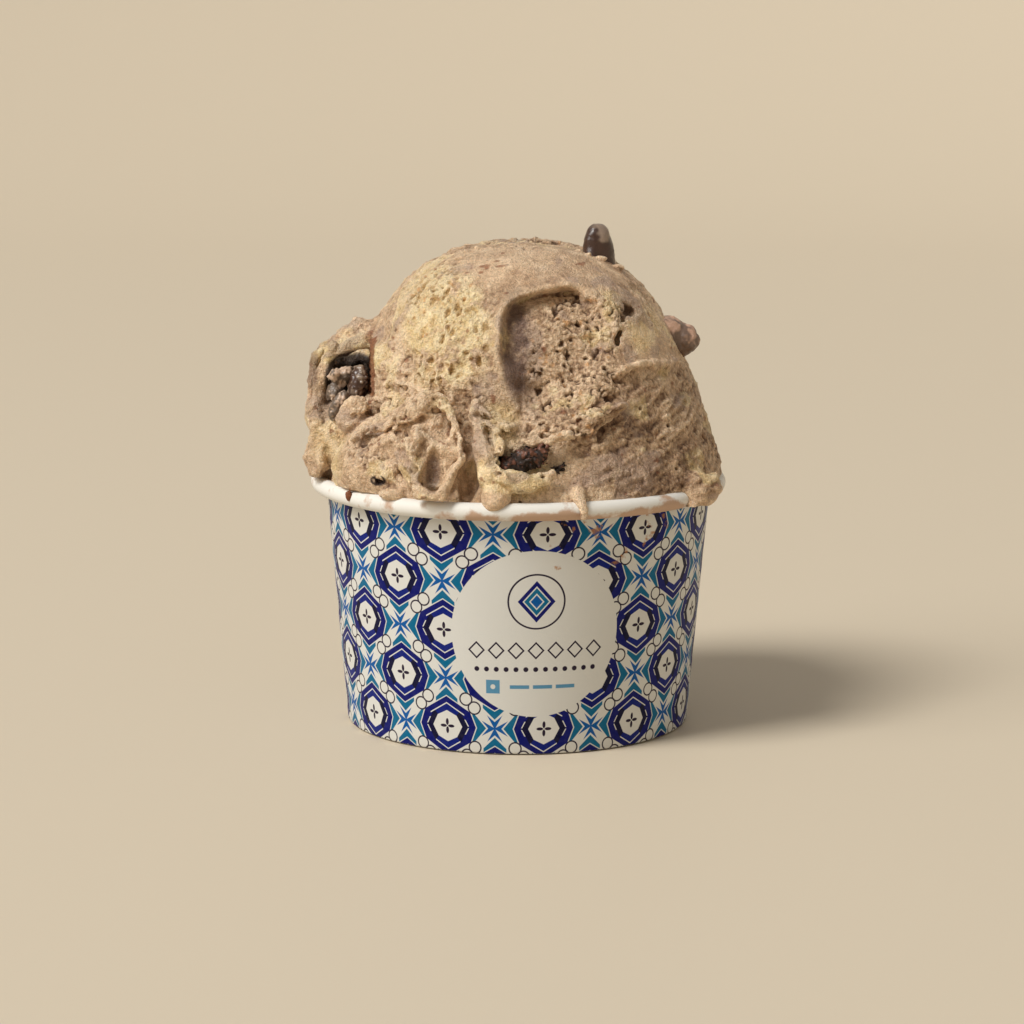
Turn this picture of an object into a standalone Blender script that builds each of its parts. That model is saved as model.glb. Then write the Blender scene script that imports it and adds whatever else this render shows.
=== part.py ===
"""Gelato cup: a round paper cup with a rolled rim, heaped with gelato and chocolate pieces.

Named sizes are in millimetres and the scene is in metres.  The cup stands on z = 0 with its
axis on Z, and the shown side of the heap faces -Y.
"""
import math

import bmesh
import bpy
from mathutils import Euler, Matrix, Vector, noise

MM = 0.001
OBJECT_NAME = "gelato_cup"

# Driving dimensions of the paper cup
RIM_RADIUS = 47.5
CUP_HEIGHT = 57.4
FOOT_RADIUS = 39.15
ROLL_RADIUS = 1.95
PAPER = 0.45
BASE_TOP = 7.0
GAP = 0.3
TURN_STEPS = 48

# Places that follow from them
ROLL_CENTRE_R = RIM_RADIUS - ROLL_RADIUS
ROLL_CENTRE_Z = CUP_HEIGHT - ROLL_RADIUS
ROLL_MID_RADIUS = ROLL_RADIUS - PAPER / 2
ROLL_END_DEGREES = -122
SHOULDER_RADIUS = ROLL_CENTRE_R - ROLL_RADIUS + PAPER
FOLD_WIDTH = PAPER * 2 + GAP * 2
HEM_TOP = BASE_TOP - PAPER - 0.6
FLANGE_BOTTOM = PAPER + GAP + 0.5

# The gelato heap, above and inside the rim
VOXEL = 1.1
DOME_SQUARENESS = 2.25
GELATO_RATIO = 0.058
SETTLE_PASSES = 3

# Roughness of the pieces
NOISE_SCALE = 3.2
SEED_STEP = Vector((7.3, 3.1, 5.7))


def clear_scene():
    """Remove every object, so that a rerun starts empty."""
    for old in list(bpy.data.objects):
        bpy.data.objects.remove(old, do_unlink=True)


def make_collection(name):
    """Make a collection in the scene."""
    made = bpy.data.collections.new(name)
    bpy.context.scene.collection.children.link(made)
    return made


def make_material(name, colour, roughness):
    """Make a non-metallic Principled material."""
    made = bpy.data.materials.new(name)
    made.use_nodes = True
    shader = made.node_tree.nodes["Principled BSDF"]
    shader.inputs["Base Color"].default_value = (*colour, 1.0)
    shader.inputs["Roughness"].default_value = roughness
    shader.inputs["Metallic"].default_value = 0.0
    made.diffuse_color = (*colour, 1.0)
    return made


def make_object(name, mesh, collection, material=None):
    """Put a mesh in a collection as a named object."""
    made = bpy.data.objects.new(name, mesh)
    collection.objects.link(made)
    if material:
        mesh.materials.append(material)
    return made


def arc(centre, radius, start, end, steps):
    """Points of an arc in the (radius, height) plane, angles in degrees."""
    points = []
    for step in range(steps + 1):
        angle = math.radians(start + (end - start) * step / steps)
        points.append((centre[0] + radius * math.cos(angle), centre[1] + radius * math.sin(angle)))
    return points


def turned(name, profile, collection, material=None):
    """Turn a profile of (radius, height) points in millimetres about Z."""
    mesh = bpy.data.meshes.new(name)
    points = [(radius * MM, 0.0, height * MM) for radius, height in profile]
    edges = [(i, i + 1) for i in range(len(points) - 1)]
    mesh.from_pydata(points, edges, [])
    made = make_object(name, mesh, collection, material)
    screw = made.modifiers.new("turn", "SCREW")
    screw.steps = TURN_STEPS
    screw.render_steps = TURN_STEPS
    screw.use_merge_vertices = True
    screw.merge_threshold = 0.00001
    screw.use_smooth_shade = False
    return made


def thicken(target):
    """Give a turned sheet the paper's thickness, half to each side."""
    solid = target.modifiers.new("paper", "SOLIDIFY")
    solid.thickness = PAPER * MM
    solid.offset = 0.0
    solid.use_even_offset = True


def wall_radius(height):
    """Outside radius of the slanted wall at a height."""
    slope = (SHOULDER_RADIUS - FOOT_RADIUS) / ROLL_CENTRE_Z
    return FOOT_RADIUS + slope * height


def build_wall(collection, material):
    """The printed sheet: rolled rim, slanted wall, flat foot fold and inner hem."""
    middle = PAPER / 2
    profile = arc((ROLL_CENTRE_R, ROLL_CENTRE_Z), ROLL_MID_RADIUS, ROLL_END_DEGREES, 180, 10)
    profile.append((wall_radius(middle) - middle, middle))
    profile.append((wall_radius(middle) - middle - FOLD_WIDTH, middle))
    profile.append((wall_radius(HEM_TOP) - middle - FOLD_WIDTH, HEM_TOP))
    wall = turned("cup_wall", profile, collection, material)
    thicken(wall)
    return wall


def build_base(collection, material):
    """The base disc, whose flange runs down between the wall and its hem."""
    middle = PAPER / 2
    inset = PAPER + GAP + middle
    corner = 0.8
    edge = wall_radius(BASE_TOP) - inset
    profile = [(0.0, BASE_TOP - middle)]
    profile += arc((edge - corner, BASE_TOP - middle - corner), corner, 90, 0, 3)
    profile.append((wall_radius(FLANGE_BOTTOM) - inset, FLANGE_BOTTOM))
    base = turned("cup_base", profile, collection, material)
    thicken(base)
    return base


def add_lump(bm, centre, radii, turn=(0, 0, 0), squareness=2.0):
    """Add an ellipsoid, squarer than round where squareness is above 2."""
    angles = Euler([math.radians(angle) for angle in turn])
    place = Matrix.Translation(Vector(centre) * MM) @ angles.to_matrix().to_4x4()
    place = place @ Matrix.Diagonal((*(Vector(radii) * MM), 1.0))
    for vert in bmesh.ops.create_icosphere(bm, subdivisions=4, radius=1.0)["verts"]:
        total = sum(abs(part) ** squareness for part in vert.co)
        vert.co = place @ (vert.co * total ** (-1.0 / squareness))


def add_fold(bm, points, radii):
    """Add a rounded fold of gelato that runs through points, with a radius at each."""
    curve = bpy.data.curves.new("fold", "CURVE")
    curve.dimensions = "3D"
    curve.bevel_depth = MM
    curve.bevel_resolution = 2
    curve.resolution_u = 4
    curve.use_fill_caps = True
    spline = curve.splines.new("NURBS")
    spline.points.add(len(points) - 1)
    for control, point, radius in zip(spline.points, points, radii):
        control.co = (*(Vector(point) * MM), 1.0)
        control.radius = radius
    spline.order_u = 3
    spline.use_endpoint_u = True
    holder = bpy.data.objects.new("fold", curve)
    bpy.context.scene.collection.objects.link(holder)
    bpy.context.view_layer.update()
    graph = bpy.context.evaluated_depsgraph_get()
    mesh = bpy.data.meshes.new_from_object(holder.evaluated_get(graph))
    bm.from_mesh(mesh)
    bmesh.ops.remove_doubles(bm, verts=bm.verts, dist=0.00001)
    bpy.data.objects.remove(holder, do_unlink=True)
    bpy.data.meshes.remove(mesh)


def add_dome(bm):
    """The main scoop, its scraped right flank and the filling that reaches into the cup."""
    add_lump(bm, (1, 2, 74), (35.5, 36, 35.6), squareness=DOME_SQUARENESS)
    add_lump(bm, (9, 0, 50), (37.6, 41, 48))
    add_lump(bm, (0, -0.5, 53), (44.9, 44.6, 27))
    add_lump(bm, (4, 14, 62), (38, 31, 36))
    fill = BASE_TOP - 3.0
    place = Matrix.Translation((0, 0, (CUP_HEIGHT - 2.0 + fill) / 2 * MM))
    bmesh.ops.create_cone(
        bm, cap_ends=True, segments=TURN_STEPS, radius1=SHOULDER_RADIUS * MM,
        radius2=(ROLL_CENTRE_R - 0.5) * MM, depth=(CUP_HEIGHT - 2.0 - fill) * MM, matrix=place)


def add_left_lobe(bm):
    """The torn lobe on the left, with the flap that arches over its hollow."""
    add_lump(bm, (-33, 1, 65), (14.6, 20, 13.5))
    add_lump(bm, (-35, 8, 77), (11, 11, 11.5))
    add_lump(bm, (-24, -18.5, 61), (17.5, 17.5, 12.5), turn=(0, 0, -12))
    add_fold(
        bm, [(-44, -9, 68), (-45.2, -6, 76), (-43.4, -4, 83.2), (-38, -4, 86.2), (-31, -3, 87.5)],
        [3.0, 2.2, 2.4, 2.9, 3.6])
    add_fold(bm, [(-44, 4, 70), (-43, 6, 81), (-37, 8, 87), (-28, 8, 89)], [4, 4, 4, 4])


def add_front_folds(bm):
    """Ridges, the hanging curl and the tongue over the front of the rim."""
    add_fold(
        bm, [(-30, -31, 70), (-26, -32.5, 71.6), (-22, -30.5, 74.5), (-17, -28.5, 77.5)],
        [1.2, 2.2, 2.3, 1.2])
    add_fold(
        bm, [(-40, -24, 66), (-36, -30, 68.4), (-30, -32.5, 71), (-25, -31.5, 74)],
        [1.0, 1.7, 1.7, 1.0])
    add_fold(
        bm, [(-11, -31, 77), (-13, -35, 72.5), (-15.4, -38.5, 67), (-18, -41, 62), (-19.5, -42, 58)],
        [1.6, 2.2, 2.4, 2.6, 3.0])
    add_fold(
        bm, [(-10, -31, 79), (-8.2, -35.5, 73), (-6.4, -39.5, 67), (-5.4, -42.5, 62), (-5.2, -44, 58)],
        [1.8, 2.8, 3.6, 4.6, 4.4])
    add_lump(bm, (-5.2, -45.2, 59.4), (4.2, 3.9, 4.3))
    add_fold(
        bm, [(-3, -33, 76), (0.5, -37.5, 71), (6, -40, 68), (12, -38.5, 70), (16, -36.5, 73)],
        [1.0, 1.9, 1.8, 2.0, 1.0])
    add_lump(bm, (4, -41.5, 61.0), (9.5, 4.2, 3.4), turn=(0, 0, 4))


def add_right_folds(bm):
    """The ledge under the thumbed hollow and the scraped steps on the right flank."""
    add_fold(
        bm, [(17, -30.5, 77.5), (25, -28, 77.8), (32, -21.5, 78.6), (36.5, -11, 79), (36.5, 2, 80)],
        [0.9, 1.7, 1.9, 1.9, 1.0])
    add_fold(
        bm, [(15, -38, 66), (22, -36, 69), (31, -29.5, 72), (38, -17, 74), (40, -4, 75)],
        [1.0, 1.8, 1.9, 1.8, 0.9])
    add_fold(bm, [(20, -39, 59), (31, -33, 62.5), (39, -21, 64), (44, -7, 65)], [1, 1.6, 1.6, 0.9])
    add_lump(bm, (41.5, -15.5, 58.0), (5.0, 7.0, 4.0), turn=(0, 0, 28))


def add_back_folds(bm):
    """Paddle ridges that wind round the back of the heap."""
    for turn in range(4):
        height = 63 + 9.5 * turn
        reach = 40.5 - 1.3 * turn - 0.42 * turn * turn
        points = []
        for step, sink in enumerate((0.88, 0.98, 1.0, 1.0, 0.98, 0.88)):
            angle = math.radians(32 + 22 * step + 4 * turn)
            across = reach * sink
            points.append((3 + across * math.cos(angle), 2 + across * math.sin(angle), height + 2 * step))
        add_fold(bm, points, [1.2, 2.6, 3.0, 3.0, 2.6, 1.2])


def make_heap(collection, material):
    """Join the gelato's lumps and folds into one mesh, overlapping until it is remeshed."""
    bm = bmesh.new()
    add_dome(bm)
    add_left_lobe(bm)
    add_front_folds(bm)
    add_right_folds(bm)
    add_back_folds(bm)
    mesh = bpy.data.meshes.new("gelato")
    bm.to_mesh(mesh)
    bm.free()
    return make_object("gelato", mesh, collection, material)


def make_cutter(name, mesh, collection):
    """Put a mesh in the cutters' collection, hidden in renders."""
    made = make_object(name, mesh, collection)
    made.hide_render = True
    made.display_type = "WIRE"
    return made


def make_lump_cutter(name, collection, lumps):
    """A cutter of one or more ellipsoids that lie apart."""
    bm = bmesh.new()
    for centre, radii, turn in lumps:
        add_lump(bm, centre, radii, turn)
    mesh = bpy.data.meshes.new(name)
    bm.to_mesh(mesh)
    bm.free()
    return make_cutter(name, mesh, collection)


def make_cup_cutter(collection):
    """A turned solid of all the space that the cup, and what is below the rim, takes up."""
    inner = PAPER + GAP
    floor = BASE_TOP + GAP
    outside = RIM_RADIUS * 1.4
    under_roll = CUP_HEIGHT - 7.0
    profile = [(0.0, floor), (wall_radius(floor) - inner, floor)]
    profile += arc((ROLL_CENTRE_R, ROLL_CENTRE_Z), ROLL_RADIUS + GAP, 180, 0, 8)
    profile += [(RIM_RADIUS + GAP, under_roll), (outside, under_roll), (outside, -10), (0.0, -10)]
    cutter = turned("cup_space", profile, collection)
    cutter.hide_render = True
    cutter.display_type = "WIRE"
    return cutter


def subtract(target, cutter):
    """Cut one closed object out of another."""
    cut = target.modifiers.new("cut_" + cutter.name, "BOOLEAN")
    cut.operation = "DIFFERENCE"
    cut.solver = "EXACT"
    cut.object = cutter


def fuse(target):
    """Melt overlapping solids into one skin and soften the creases between them."""
    remesh = target.modifiers.new("fuse", "REMESH")
    remesh.mode = "VOXEL"
    remesh.voxel_size = VOXEL * MM
    settle = target.modifiers.new("settle", "SMOOTH")
    settle.factor = 0.5
    settle.iterations = SETTLE_PASSES


def build_gelato(collection, cutters, material, pieces):
    """One solid of gelato, fitted to the cup and round the pieces pressed into it."""
    gelato = make_heap(collection, material)
    fuse(gelato)
    subtract(gelato, make_lump_cutter("hollows", cutters, [
        ((12.5, -36.0, 90.5), (18.0, 11.5, 13.5), (-20, 0, 14)),
        ((-38.3, -9.5, 78.8), (4.6, 9.0, 4.9), (0, 0, -8)),
        ((-14, 41.5, 94), (20, 11, 10), (28, 0, 24)),
        ((30, 37.5, 84), (17, 10, 9), (20, 0, -40))]))
    fuse(gelato)
    thin = gelato.modifiers.new("thin", "DECIMATE")
    thin.ratio = GELATO_RATIO
    subtract(gelato, make_cup_cutter(cutters))
    for piece in pieces:
        grown = make_cutter(piece.name + "_space", piece.data.copy(), cutters)
        swell = grown.modifiers.new("gap", "DISPLACE")
        swell.strength = GAP * MM
        swell.mid_level = 0.0
        subtract(gelato, grown)
    return gelato


def build_piece(name, collection, material, centre, size, turn, roundness, roughness, seed):
    """An irregular piece of chocolate or brownie, from a cube that is rounded and roughened."""
    bm = bmesh.new()
    bmesh.ops.create_cube(bm, size=1.0)
    bmesh.ops.subdivide_edges(bm, edges=bm.edges, cuts=3, use_grid_fill=True)
    angles = Euler([math.radians(angle) for angle in turn])
    place = Matrix.Translation(Vector(centre) * MM) @ angles.to_matrix().to_4x4()
    place = place @ Matrix.Diagonal((*(Vector(size) * MM), 1.0))
    for vert in bm.verts:
        shape = vert.co.lerp(vert.co.normalized() * 0.5, roundness)
        shape *= 1.0 + roughness * noise.noise(shape * NOISE_SCALE + SEED_STEP * seed)
        vert.co = place @ shape
    bmesh.ops.triangulate(bm, faces=bm.faces)
    mesh = bpy.data.meshes.new(name)
    bm.to_mesh(mesh)
    bm.free()
    return make_object(name, mesh, collection, material)


def build_pieces(collection, chocolate, brownie, coated):
    """The separate pieces that stand out of the gelato."""
    return [
        build_piece("chocolate_top", collection, chocolate,
                    (17.9, 1.5, 108.0), (7.4, 6.2, 12.4), (4, 5, 0), 1.0, 0.12, 1),
        build_piece("chocolate_right", collection, coated,
                    (35.0, -1.5, 88.2), (10.4, 7.6, 7.0), (0, 8, 0), 0.85, 0.4, 2),
        build_piece("brownie_front", collection, brownie,
                    (1.8, -41.6, 66.3), (10.6, 8.0, 6.6), (-20, 4, 4), 0.7, 0.35, 3),
        build_piece("chocolate_left_high", collection, chocolate,
                    (-37.4, -5.4, 80.2), (5.0, 8.4, 6.4), (0, 20, 0), 0.8, 0.35, 4),
        build_piece("chocolate_left_low", collection, coated,
                    (-40.6, -13.2, 73.4), (5.6, 7.0, 7.0), (0, 24, -10), 0.85, 0.3, 5),
    ]


def main():
    """Build the cup, the pieces and the gelato round them."""
    clear_scene()
    parts = make_collection(OBJECT_NAME)
    cutters = make_collection("cutters")
    print_paper = make_material("printed_paper", (0.42, 0.47, 0.60), 0.55)
    white_paper = make_material("white_paper", (0.82, 0.78, 0.70), 0.60)
    cream = make_material("gelato", (0.50, 0.35, 0.22), 0.50)
    chocolate = make_material("chocolate", (0.055, 0.022, 0.012), 0.35)
    brownie = make_material("brownie", (0.060, 0.022, 0.012), 0.80)
    coated = make_material("coated_chocolate", (0.26, 0.15, 0.09), 0.50)
    build_wall(parts, print_paper)
    build_base(parts, white_paper)
    pieces = build_pieces(parts, chocolate, brownie, coated)
    build_gelato(parts, cutters, cream, pieces)


main()
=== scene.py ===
"""Looks of the gelato cup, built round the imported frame.

Lengths are in millimetres while shapes are worked out, and in metres on the meshes.  The
gelato is worked out as signed distances on a grid, which is then skinned, so its folds,
pores and crumbs are geometry, and only its finest grain is bump.
"""
import math

import bmesh
import bpy
import numpy as np
from mathutils import Euler, Matrix, Vector


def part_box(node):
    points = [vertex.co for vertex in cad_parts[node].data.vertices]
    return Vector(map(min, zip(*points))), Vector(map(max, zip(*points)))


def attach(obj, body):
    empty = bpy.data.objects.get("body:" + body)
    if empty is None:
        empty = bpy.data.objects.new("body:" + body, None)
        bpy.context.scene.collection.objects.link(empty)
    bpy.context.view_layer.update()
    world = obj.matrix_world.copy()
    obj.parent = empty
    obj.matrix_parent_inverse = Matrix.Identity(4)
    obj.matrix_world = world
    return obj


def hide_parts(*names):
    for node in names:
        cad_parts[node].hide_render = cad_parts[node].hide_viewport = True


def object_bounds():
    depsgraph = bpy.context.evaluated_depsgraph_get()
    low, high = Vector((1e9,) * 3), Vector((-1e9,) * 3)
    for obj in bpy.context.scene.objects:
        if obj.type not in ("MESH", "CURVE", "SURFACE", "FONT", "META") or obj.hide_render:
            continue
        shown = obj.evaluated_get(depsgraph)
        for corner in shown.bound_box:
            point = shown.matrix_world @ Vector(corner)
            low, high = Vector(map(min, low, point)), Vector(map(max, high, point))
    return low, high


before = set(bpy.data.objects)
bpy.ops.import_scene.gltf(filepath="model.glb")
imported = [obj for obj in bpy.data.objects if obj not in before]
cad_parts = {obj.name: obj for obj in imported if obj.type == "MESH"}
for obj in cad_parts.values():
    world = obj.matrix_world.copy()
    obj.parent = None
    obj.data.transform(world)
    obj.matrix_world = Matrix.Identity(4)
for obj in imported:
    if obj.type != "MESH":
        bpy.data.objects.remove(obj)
CAD_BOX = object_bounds()

MM = 0.001
SEED = 4711

# The cup: its rim and height are read from the frame, PAPER is the sheet's thickness, and the
# roll starts and ends at angles in degrees
CUP_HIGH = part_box("cup_wall")[1]
RIM_RADIUS = CUP_HIGH[0] / MM
CUP_HEIGHT = CUP_HIGH[2] / MM
PAPER = 0.45
FOOT_RADIUS = 39.15
ROLL_RADIUS = 1.95
ROLL_R = RIM_RADIUS - ROLL_RADIUS
ROLL_Z = CUP_HEIGHT - ROLL_RADIUS
SHOULDER_RADIUS = ROLL_R - ROLL_RADIUS + PAPER
WALL_SLOPE = (SHOULDER_RADIUS - FOOT_RADIUS) / ROLL_Z
ROLL_START = -140
ROLL_END = 180
AROUND_STEP = 1.5
HEM_TOP = 5.9
HEM_IN = 1.5

# The sheet's lap at the back, in degrees from the front
LAP_START = 176.0
LAP_END = 184.5
LAP_STEP = 0.2

# The grids' steps and floor, the y where the gelato's front meets its back, the x where its
# front is parted, how far front and back overlap, and the room round the rim
STEP = 0.30
BACK_STEP = 0.5
PIECE_STEP = 0.22
GRID_FLOOR = 54.0
PARTING = 6.0
PART_X = -5.0
OVERLAP = 1.5
GRID_MARGIN = 2.5

# The gelato's axis, the reach that turns an angle round it into millimetres, and the red drop
AXIS_X = 1
AXIS_Y = 2
AXIS_REACH = 38
RED_DROP = (-37.4, -29.2, 56.0)

# The cells across a noise table, the flank's flaky steps, and a grid cell's corners
NOISE_CELLS = 32
FLANK_STEPS = 26
CORNERS = [(i, j, k) for i in (0, 1) for j in (0, 1) for k in (0, 1)]


# ---------------------------------------------------------------------------- noise


def lattice(points, size, seed):
    """Smooth noise from -1 to 1 at points (n, 3), with features of about that size."""
    table = np.random.default_rng(seed).random((NOISE_CELLS,) * 3, dtype=np.float32) * 2 - 1
    spots = points / np.asarray(size, np.float32)
    cells = np.floor(spots).astype(np.int32)
    part = spots - cells
    part = part * part * (3 - 2 * part)
    near, far = cells % NOISE_CELLS, (cells + 1) % NOISE_CELLS
    total = 0
    for ix, wx in ((near[:, 0], 1 - part[:, 0]), (far[:, 0], part[:, 0])):
        for iy, wy in ((near[:, 1], 1 - part[:, 1]), (far[:, 1], part[:, 1])):
            for iz, wz in ((near[:, 2], 1 - part[:, 2]), (far[:, 2], part[:, 2])):
                total = total + table[ix, iy, iz] * (wx * wy * wz)
    return total


def cloud(points, size, seed, layers=3):
    """Noise of several sizes, each half the one before."""
    total = 0
    for layer in range(layers):
        total = total + lattice(points, size * 0.5 ** layer, seed + layer) * 0.6 ** layer
    return total


def cells(points, size, seed):
    """Distance to the nearest of scattered spots about size apart, and that spot's number 0-1."""
    table = np.random.default_rng(seed).random((NOISE_CELLS,) * 3 + (4,), dtype=np.float32)
    spots = (points / np.asarray(size, float)).astype(np.float32)
    base = np.floor(spots).astype(np.int32)
    best = np.full(len(points), 9.0, np.float32)
    number = np.zeros(len(points), np.float32)
    for ix in (-1, 0, 1):
        for iy in (-1, 0, 1):
            for iz in (-1, 0, 1):
                cell = base + np.array((ix, iy, iz), np.int32)
                held = table[tuple((cell % NOISE_CELLS).T)]
                gap = np.linalg.norm(cell + held[:, :3] - spots, axis=1)
                nearer = gap < best
                best[nearer] = gap[nearer]
                number[nearer] = held[nearer, 3]
    return best, number


def bend(points, amount, size, seed):
    """Points pushed about by noise."""
    return points + amount * np.stack([lattice(points, size, seed + n) for n in range(3)], 1)


def ramp(values, low, high):
    """A smooth step from 0 at low to 1 at high."""
    part = np.clip((values - low) / (high - low), 0, 1)
    return part * part * (3 - 2 * part)


# ---------------------------------------------------------------------------- shapes


def lump(centre, radii, turn=(0, 0, 0), squareness=2.0):
    """An ellipsoid, boxier with squareness over 2: low corner, high corner, distance function."""
    spin = np.array(Euler([math.radians(a) for a in turn]).to_matrix(), np.float32).T
    reach = max(radii)

    def distance(x, y, z):
        x, y, z = x - centre[0], y - centre[1], z - centre[2]
        power, scaled = 0, []
        for row, radius in zip(spin, radii):
            part = np.abs(row[0] * x + row[1] * y + row[2] * z) / radius
            scaled.append(part)
            power = power + part ** squareness
        size = np.maximum(power, 1e-6) ** (1 / squareness)
        slope = 0
        for part, radius in zip(scaled, radii):
            slope = slope + (part ** (squareness - 1) / radius) ** 2
        slope = np.sqrt(slope) * size ** (1 - squareness)
        return (size - 1) / np.maximum(slope, 1e-4)

    spot = np.array(centre, float)
    return spot - reach, spot + reach, distance


def smooth_path(points, pieces=6):
    """Points on a smooth curve through the rows of points."""
    rows = np.array(points, float)
    rows = np.vstack([2 * rows[0] - rows[1], rows, 2 * rows[-1] - rows[-2]])
    path = []
    for a, b, c, d in zip(rows, rows[1:], rows[2:], rows[3:]):
        for t in np.arange(pieces) / pieces:
            path.append(0.5 * (2 * b + (c - a) * t + (2 * a - 5 * b + 4 * c - d) * t * t
                               + (3 * b - a - 3 * c + d) * t ** 3))
    path.append(rows[-2])
    return np.array(path)


def strand(points):
    """A round strand through rows of (x, y, z, radius), as lump gives it."""
    path = smooth_path(points)

    def distance(x, y, z):
        best = 1e3
        for a, b in zip(path, path[1:]):
            way = b[:3] - a[:3]
            part = ((x - a[0]) * way[0] + (y - a[1]) * way[1] + (z - a[2]) * way[2])
            part = np.clip(part / max(way @ way, 1e-6), 0, 1)
            gap = np.sqrt((x - a[0] - part * way[0]) ** 2 + (y - a[1] - part * way[1]) ** 2
                          + (z - a[2] - part * way[2]) ** 2)
            best = np.minimum(best, gap - (a[3] + part * (b[3] - a[3])))
        return best

    reach = path[:, 3].max()
    return path[:, :3].min(0) - reach, path[:, :3].max(0) + reach, distance


def crumpled(coords, amount):
    """Grid coordinates pushed about by noise, which makes the edges of a shape uneven."""
    x, y, z = np.broadcast_arrays(*coords)
    points = np.stack([x.ravel(), y.ravel(), z.ravel()], 1)
    moved = []
    for number, axis in enumerate((x, y, z)):
        push = lattice(points, 4.2, 401 + number) + 0.5 * lattice(points, 1.9, 411 + number)
        moved.append(axis + amount * push.reshape(axis.shape))
    return moved


class Field:
    """Signed distances to a surface, in millimetres, on a grid whose steps may be uneven."""

    def __init__(self, xs, ys, zs):
        self.axes = [np.asarray(axis, np.float32) for axis in (xs, ys, zs)]
        self.values = np.full([len(axis) for axis in self.axes], 40.0, np.float32)

    def window(self, low, high):
        """The grid's slices and coordinates between two corners."""
        cuts = tuple(slice(int(np.searchsorted(axis, a)), int(np.searchsorted(axis, b)))
                     for axis, a, b in zip(self.axes, low, high))
        coords = np.meshgrid(*[axis[cut] for axis, cut in zip(self.axes, cuts)],
                             indexing="ij", sparse=True)
        return cuts, coords

    def join(self, shape, blend=1.0, crumple=0.0):
        """Add a shape, melted into what is there over a width of blend."""
        low, high, distance = shape
        margin = blend + 3.0
        cuts, coords = self.window(low - margin, high + margin)
        if crumple:
            coords = crumpled(coords, crumple)
        there, new = self.values[cuts], distance(*coords)
        melt = np.maximum(1 - np.abs(there - new) / blend, 0)
        self.values[cuts] = np.minimum(there, new) - melt * melt * (blend / 4)

    def carve(self, shape, blend=0.5, crumple=0.0):
        """Take a shape away, with an edge rounded over a width of blend."""
        low, high, distance = shape
        margin = blend + crumple
        cuts, coords = self.window(low - margin, high + margin)
        if crumple:
            coords = crumpled(coords, crumple)
        there, new = self.values[cuts], -distance(*coords)
        melt = np.maximum(1 - np.abs(there - new) / blend, 0)
        self.values[cuts] = np.maximum(there, new) + melt * melt * (blend / 4)

    def near(self, width):
        """Flat indices and points of the grid's corners within width of the surface."""
        flat = np.flatnonzero(np.abs(self.values) < width)
        where = np.unravel_index(flat, self.values.shape)
        points = np.stack([axis[i] for axis, i in zip(self.axes, where)], 1)
        return flat, points

    def cell_points(self, cells):
        """One point in each cell, amid the places where its edges cross the surface."""
        total, hits = np.zeros((len(cells), 3)), np.zeros(len(cells))
        held = {c: self.values[tuple((cells + c).T)] for c in CORNERS}
        for c in CORNERS:
            for way in range(3):
                if c[way]:
                    continue
                other = tuple(1 if n == way else v for n, v in enumerate(c))
                a, b = held[c], held[other]
                crossed = (a < 0) != (b < 0)
                part = np.where(crossed, a / np.where(crossed, a - b, 1), 0)
                spot = np.tile(np.array(c, float), (len(cells), 1))
                spot[:, way] += part
                total += spot * crossed[:, None]
                hits += crossed
        place = cells + total / hits[:, None]
        return np.stack([np.interp(place[:, n], np.arange(len(axis)), axis)
                         for n, axis in enumerate(self.axes)], 1)

    @staticmethod
    def cell_faces(inside, number, way):
        """Four-sided faces across the grid's crossed edges along one axis."""
        u, v = (way + 1) % 3, (way + 2) % 3
        first, second = [slice(1, -1)] * 3, [slice(1, -1)] * 3
        first[way], second[way] = slice(0, -1), slice(1, None)
        spots = np.stack(np.nonzero(inside[tuple(first)] != inside[tuple(second)]), 1)
        spots[:, u] += 1
        spots[:, v] += 1
        step_u, step_v = np.eye(3, dtype=int)[u], np.eye(3, dtype=int)[v]
        ring = [spots - step_u - step_v, spots - step_v, spots, spots - step_u]
        quads = np.stack([number[tuple(r.T)] for r in ring], 1)
        leaves = inside[tuple(spots.T)]
        quads[~leaves] = quads[~leaves][:, ::-1]
        return quads

    def skin(self):
        """Vertices and four-sided faces of the surface where the distance is zero."""
        inside = self.values < 0
        shape = np.array(self.values.shape) - 1
        count = np.zeros(shape, np.int8)
        for i, j, k in CORNERS:
            count += inside[i:shape[0] + i, j:shape[1] + j, k:shape[2] + k]
        cells = np.stack(np.nonzero((count > 0) & (count < 8)), 1)
        number = np.full(shape, -1, np.int32)
        number[tuple(cells.T)] = np.arange(len(cells))
        faces = np.vstack([self.cell_faces(inside, number, way) for way in range(3)])
        return self.cell_points(cells), faces


# ---------------------------------------------------------------------------- meshes


def link_object(name, data):
    """A new object in the scene."""
    made = bpy.data.objects.new(name, data)
    bpy.context.scene.collection.objects.link(made)
    return made


def mesh_object(name, points, faces):
    """A mesh object from points in millimetres and faces of one size."""
    mesh = bpy.data.meshes.new(name)
    sides = faces.shape[1]
    mesh.vertices.add(len(points))
    mesh.vertices.foreach_set("co", (np.asarray(points, np.float32) * MM).ravel())
    mesh.loops.add(faces.size)
    mesh.loops.foreach_set("vertex_index", faces.astype(np.int32).ravel())
    mesh.polygons.add(len(faces))
    mesh.polygons.foreach_set("loop_start", np.arange(0, faces.size, sides, dtype=np.int32))
    mesh.update(calc_edges=True)
    mesh.polygons.foreach_set("use_smooth", np.full(len(faces), True))
    return link_object(name, mesh)


def relax(points, faces, rounds, amount=0.5):
    """Ease each point towards the middle of its neighbours."""
    ends = np.vstack([np.stack([faces[:, n], faces[:, (n + 1) % 4]], 1) for n in range(4)])
    count = np.bincount(ends.ravel(), minlength=len(points))[:, None]
    for _ in range(rounds):
        middle = np.stack([
            np.bincount(ends[:, 0], points[ends[:, 1], n], len(points))
            + np.bincount(ends[:, 1], points[ends[:, 0], n], len(points)) for n in range(3)], 1)
        points = points + amount * (middle / count - points)
    return points


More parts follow.
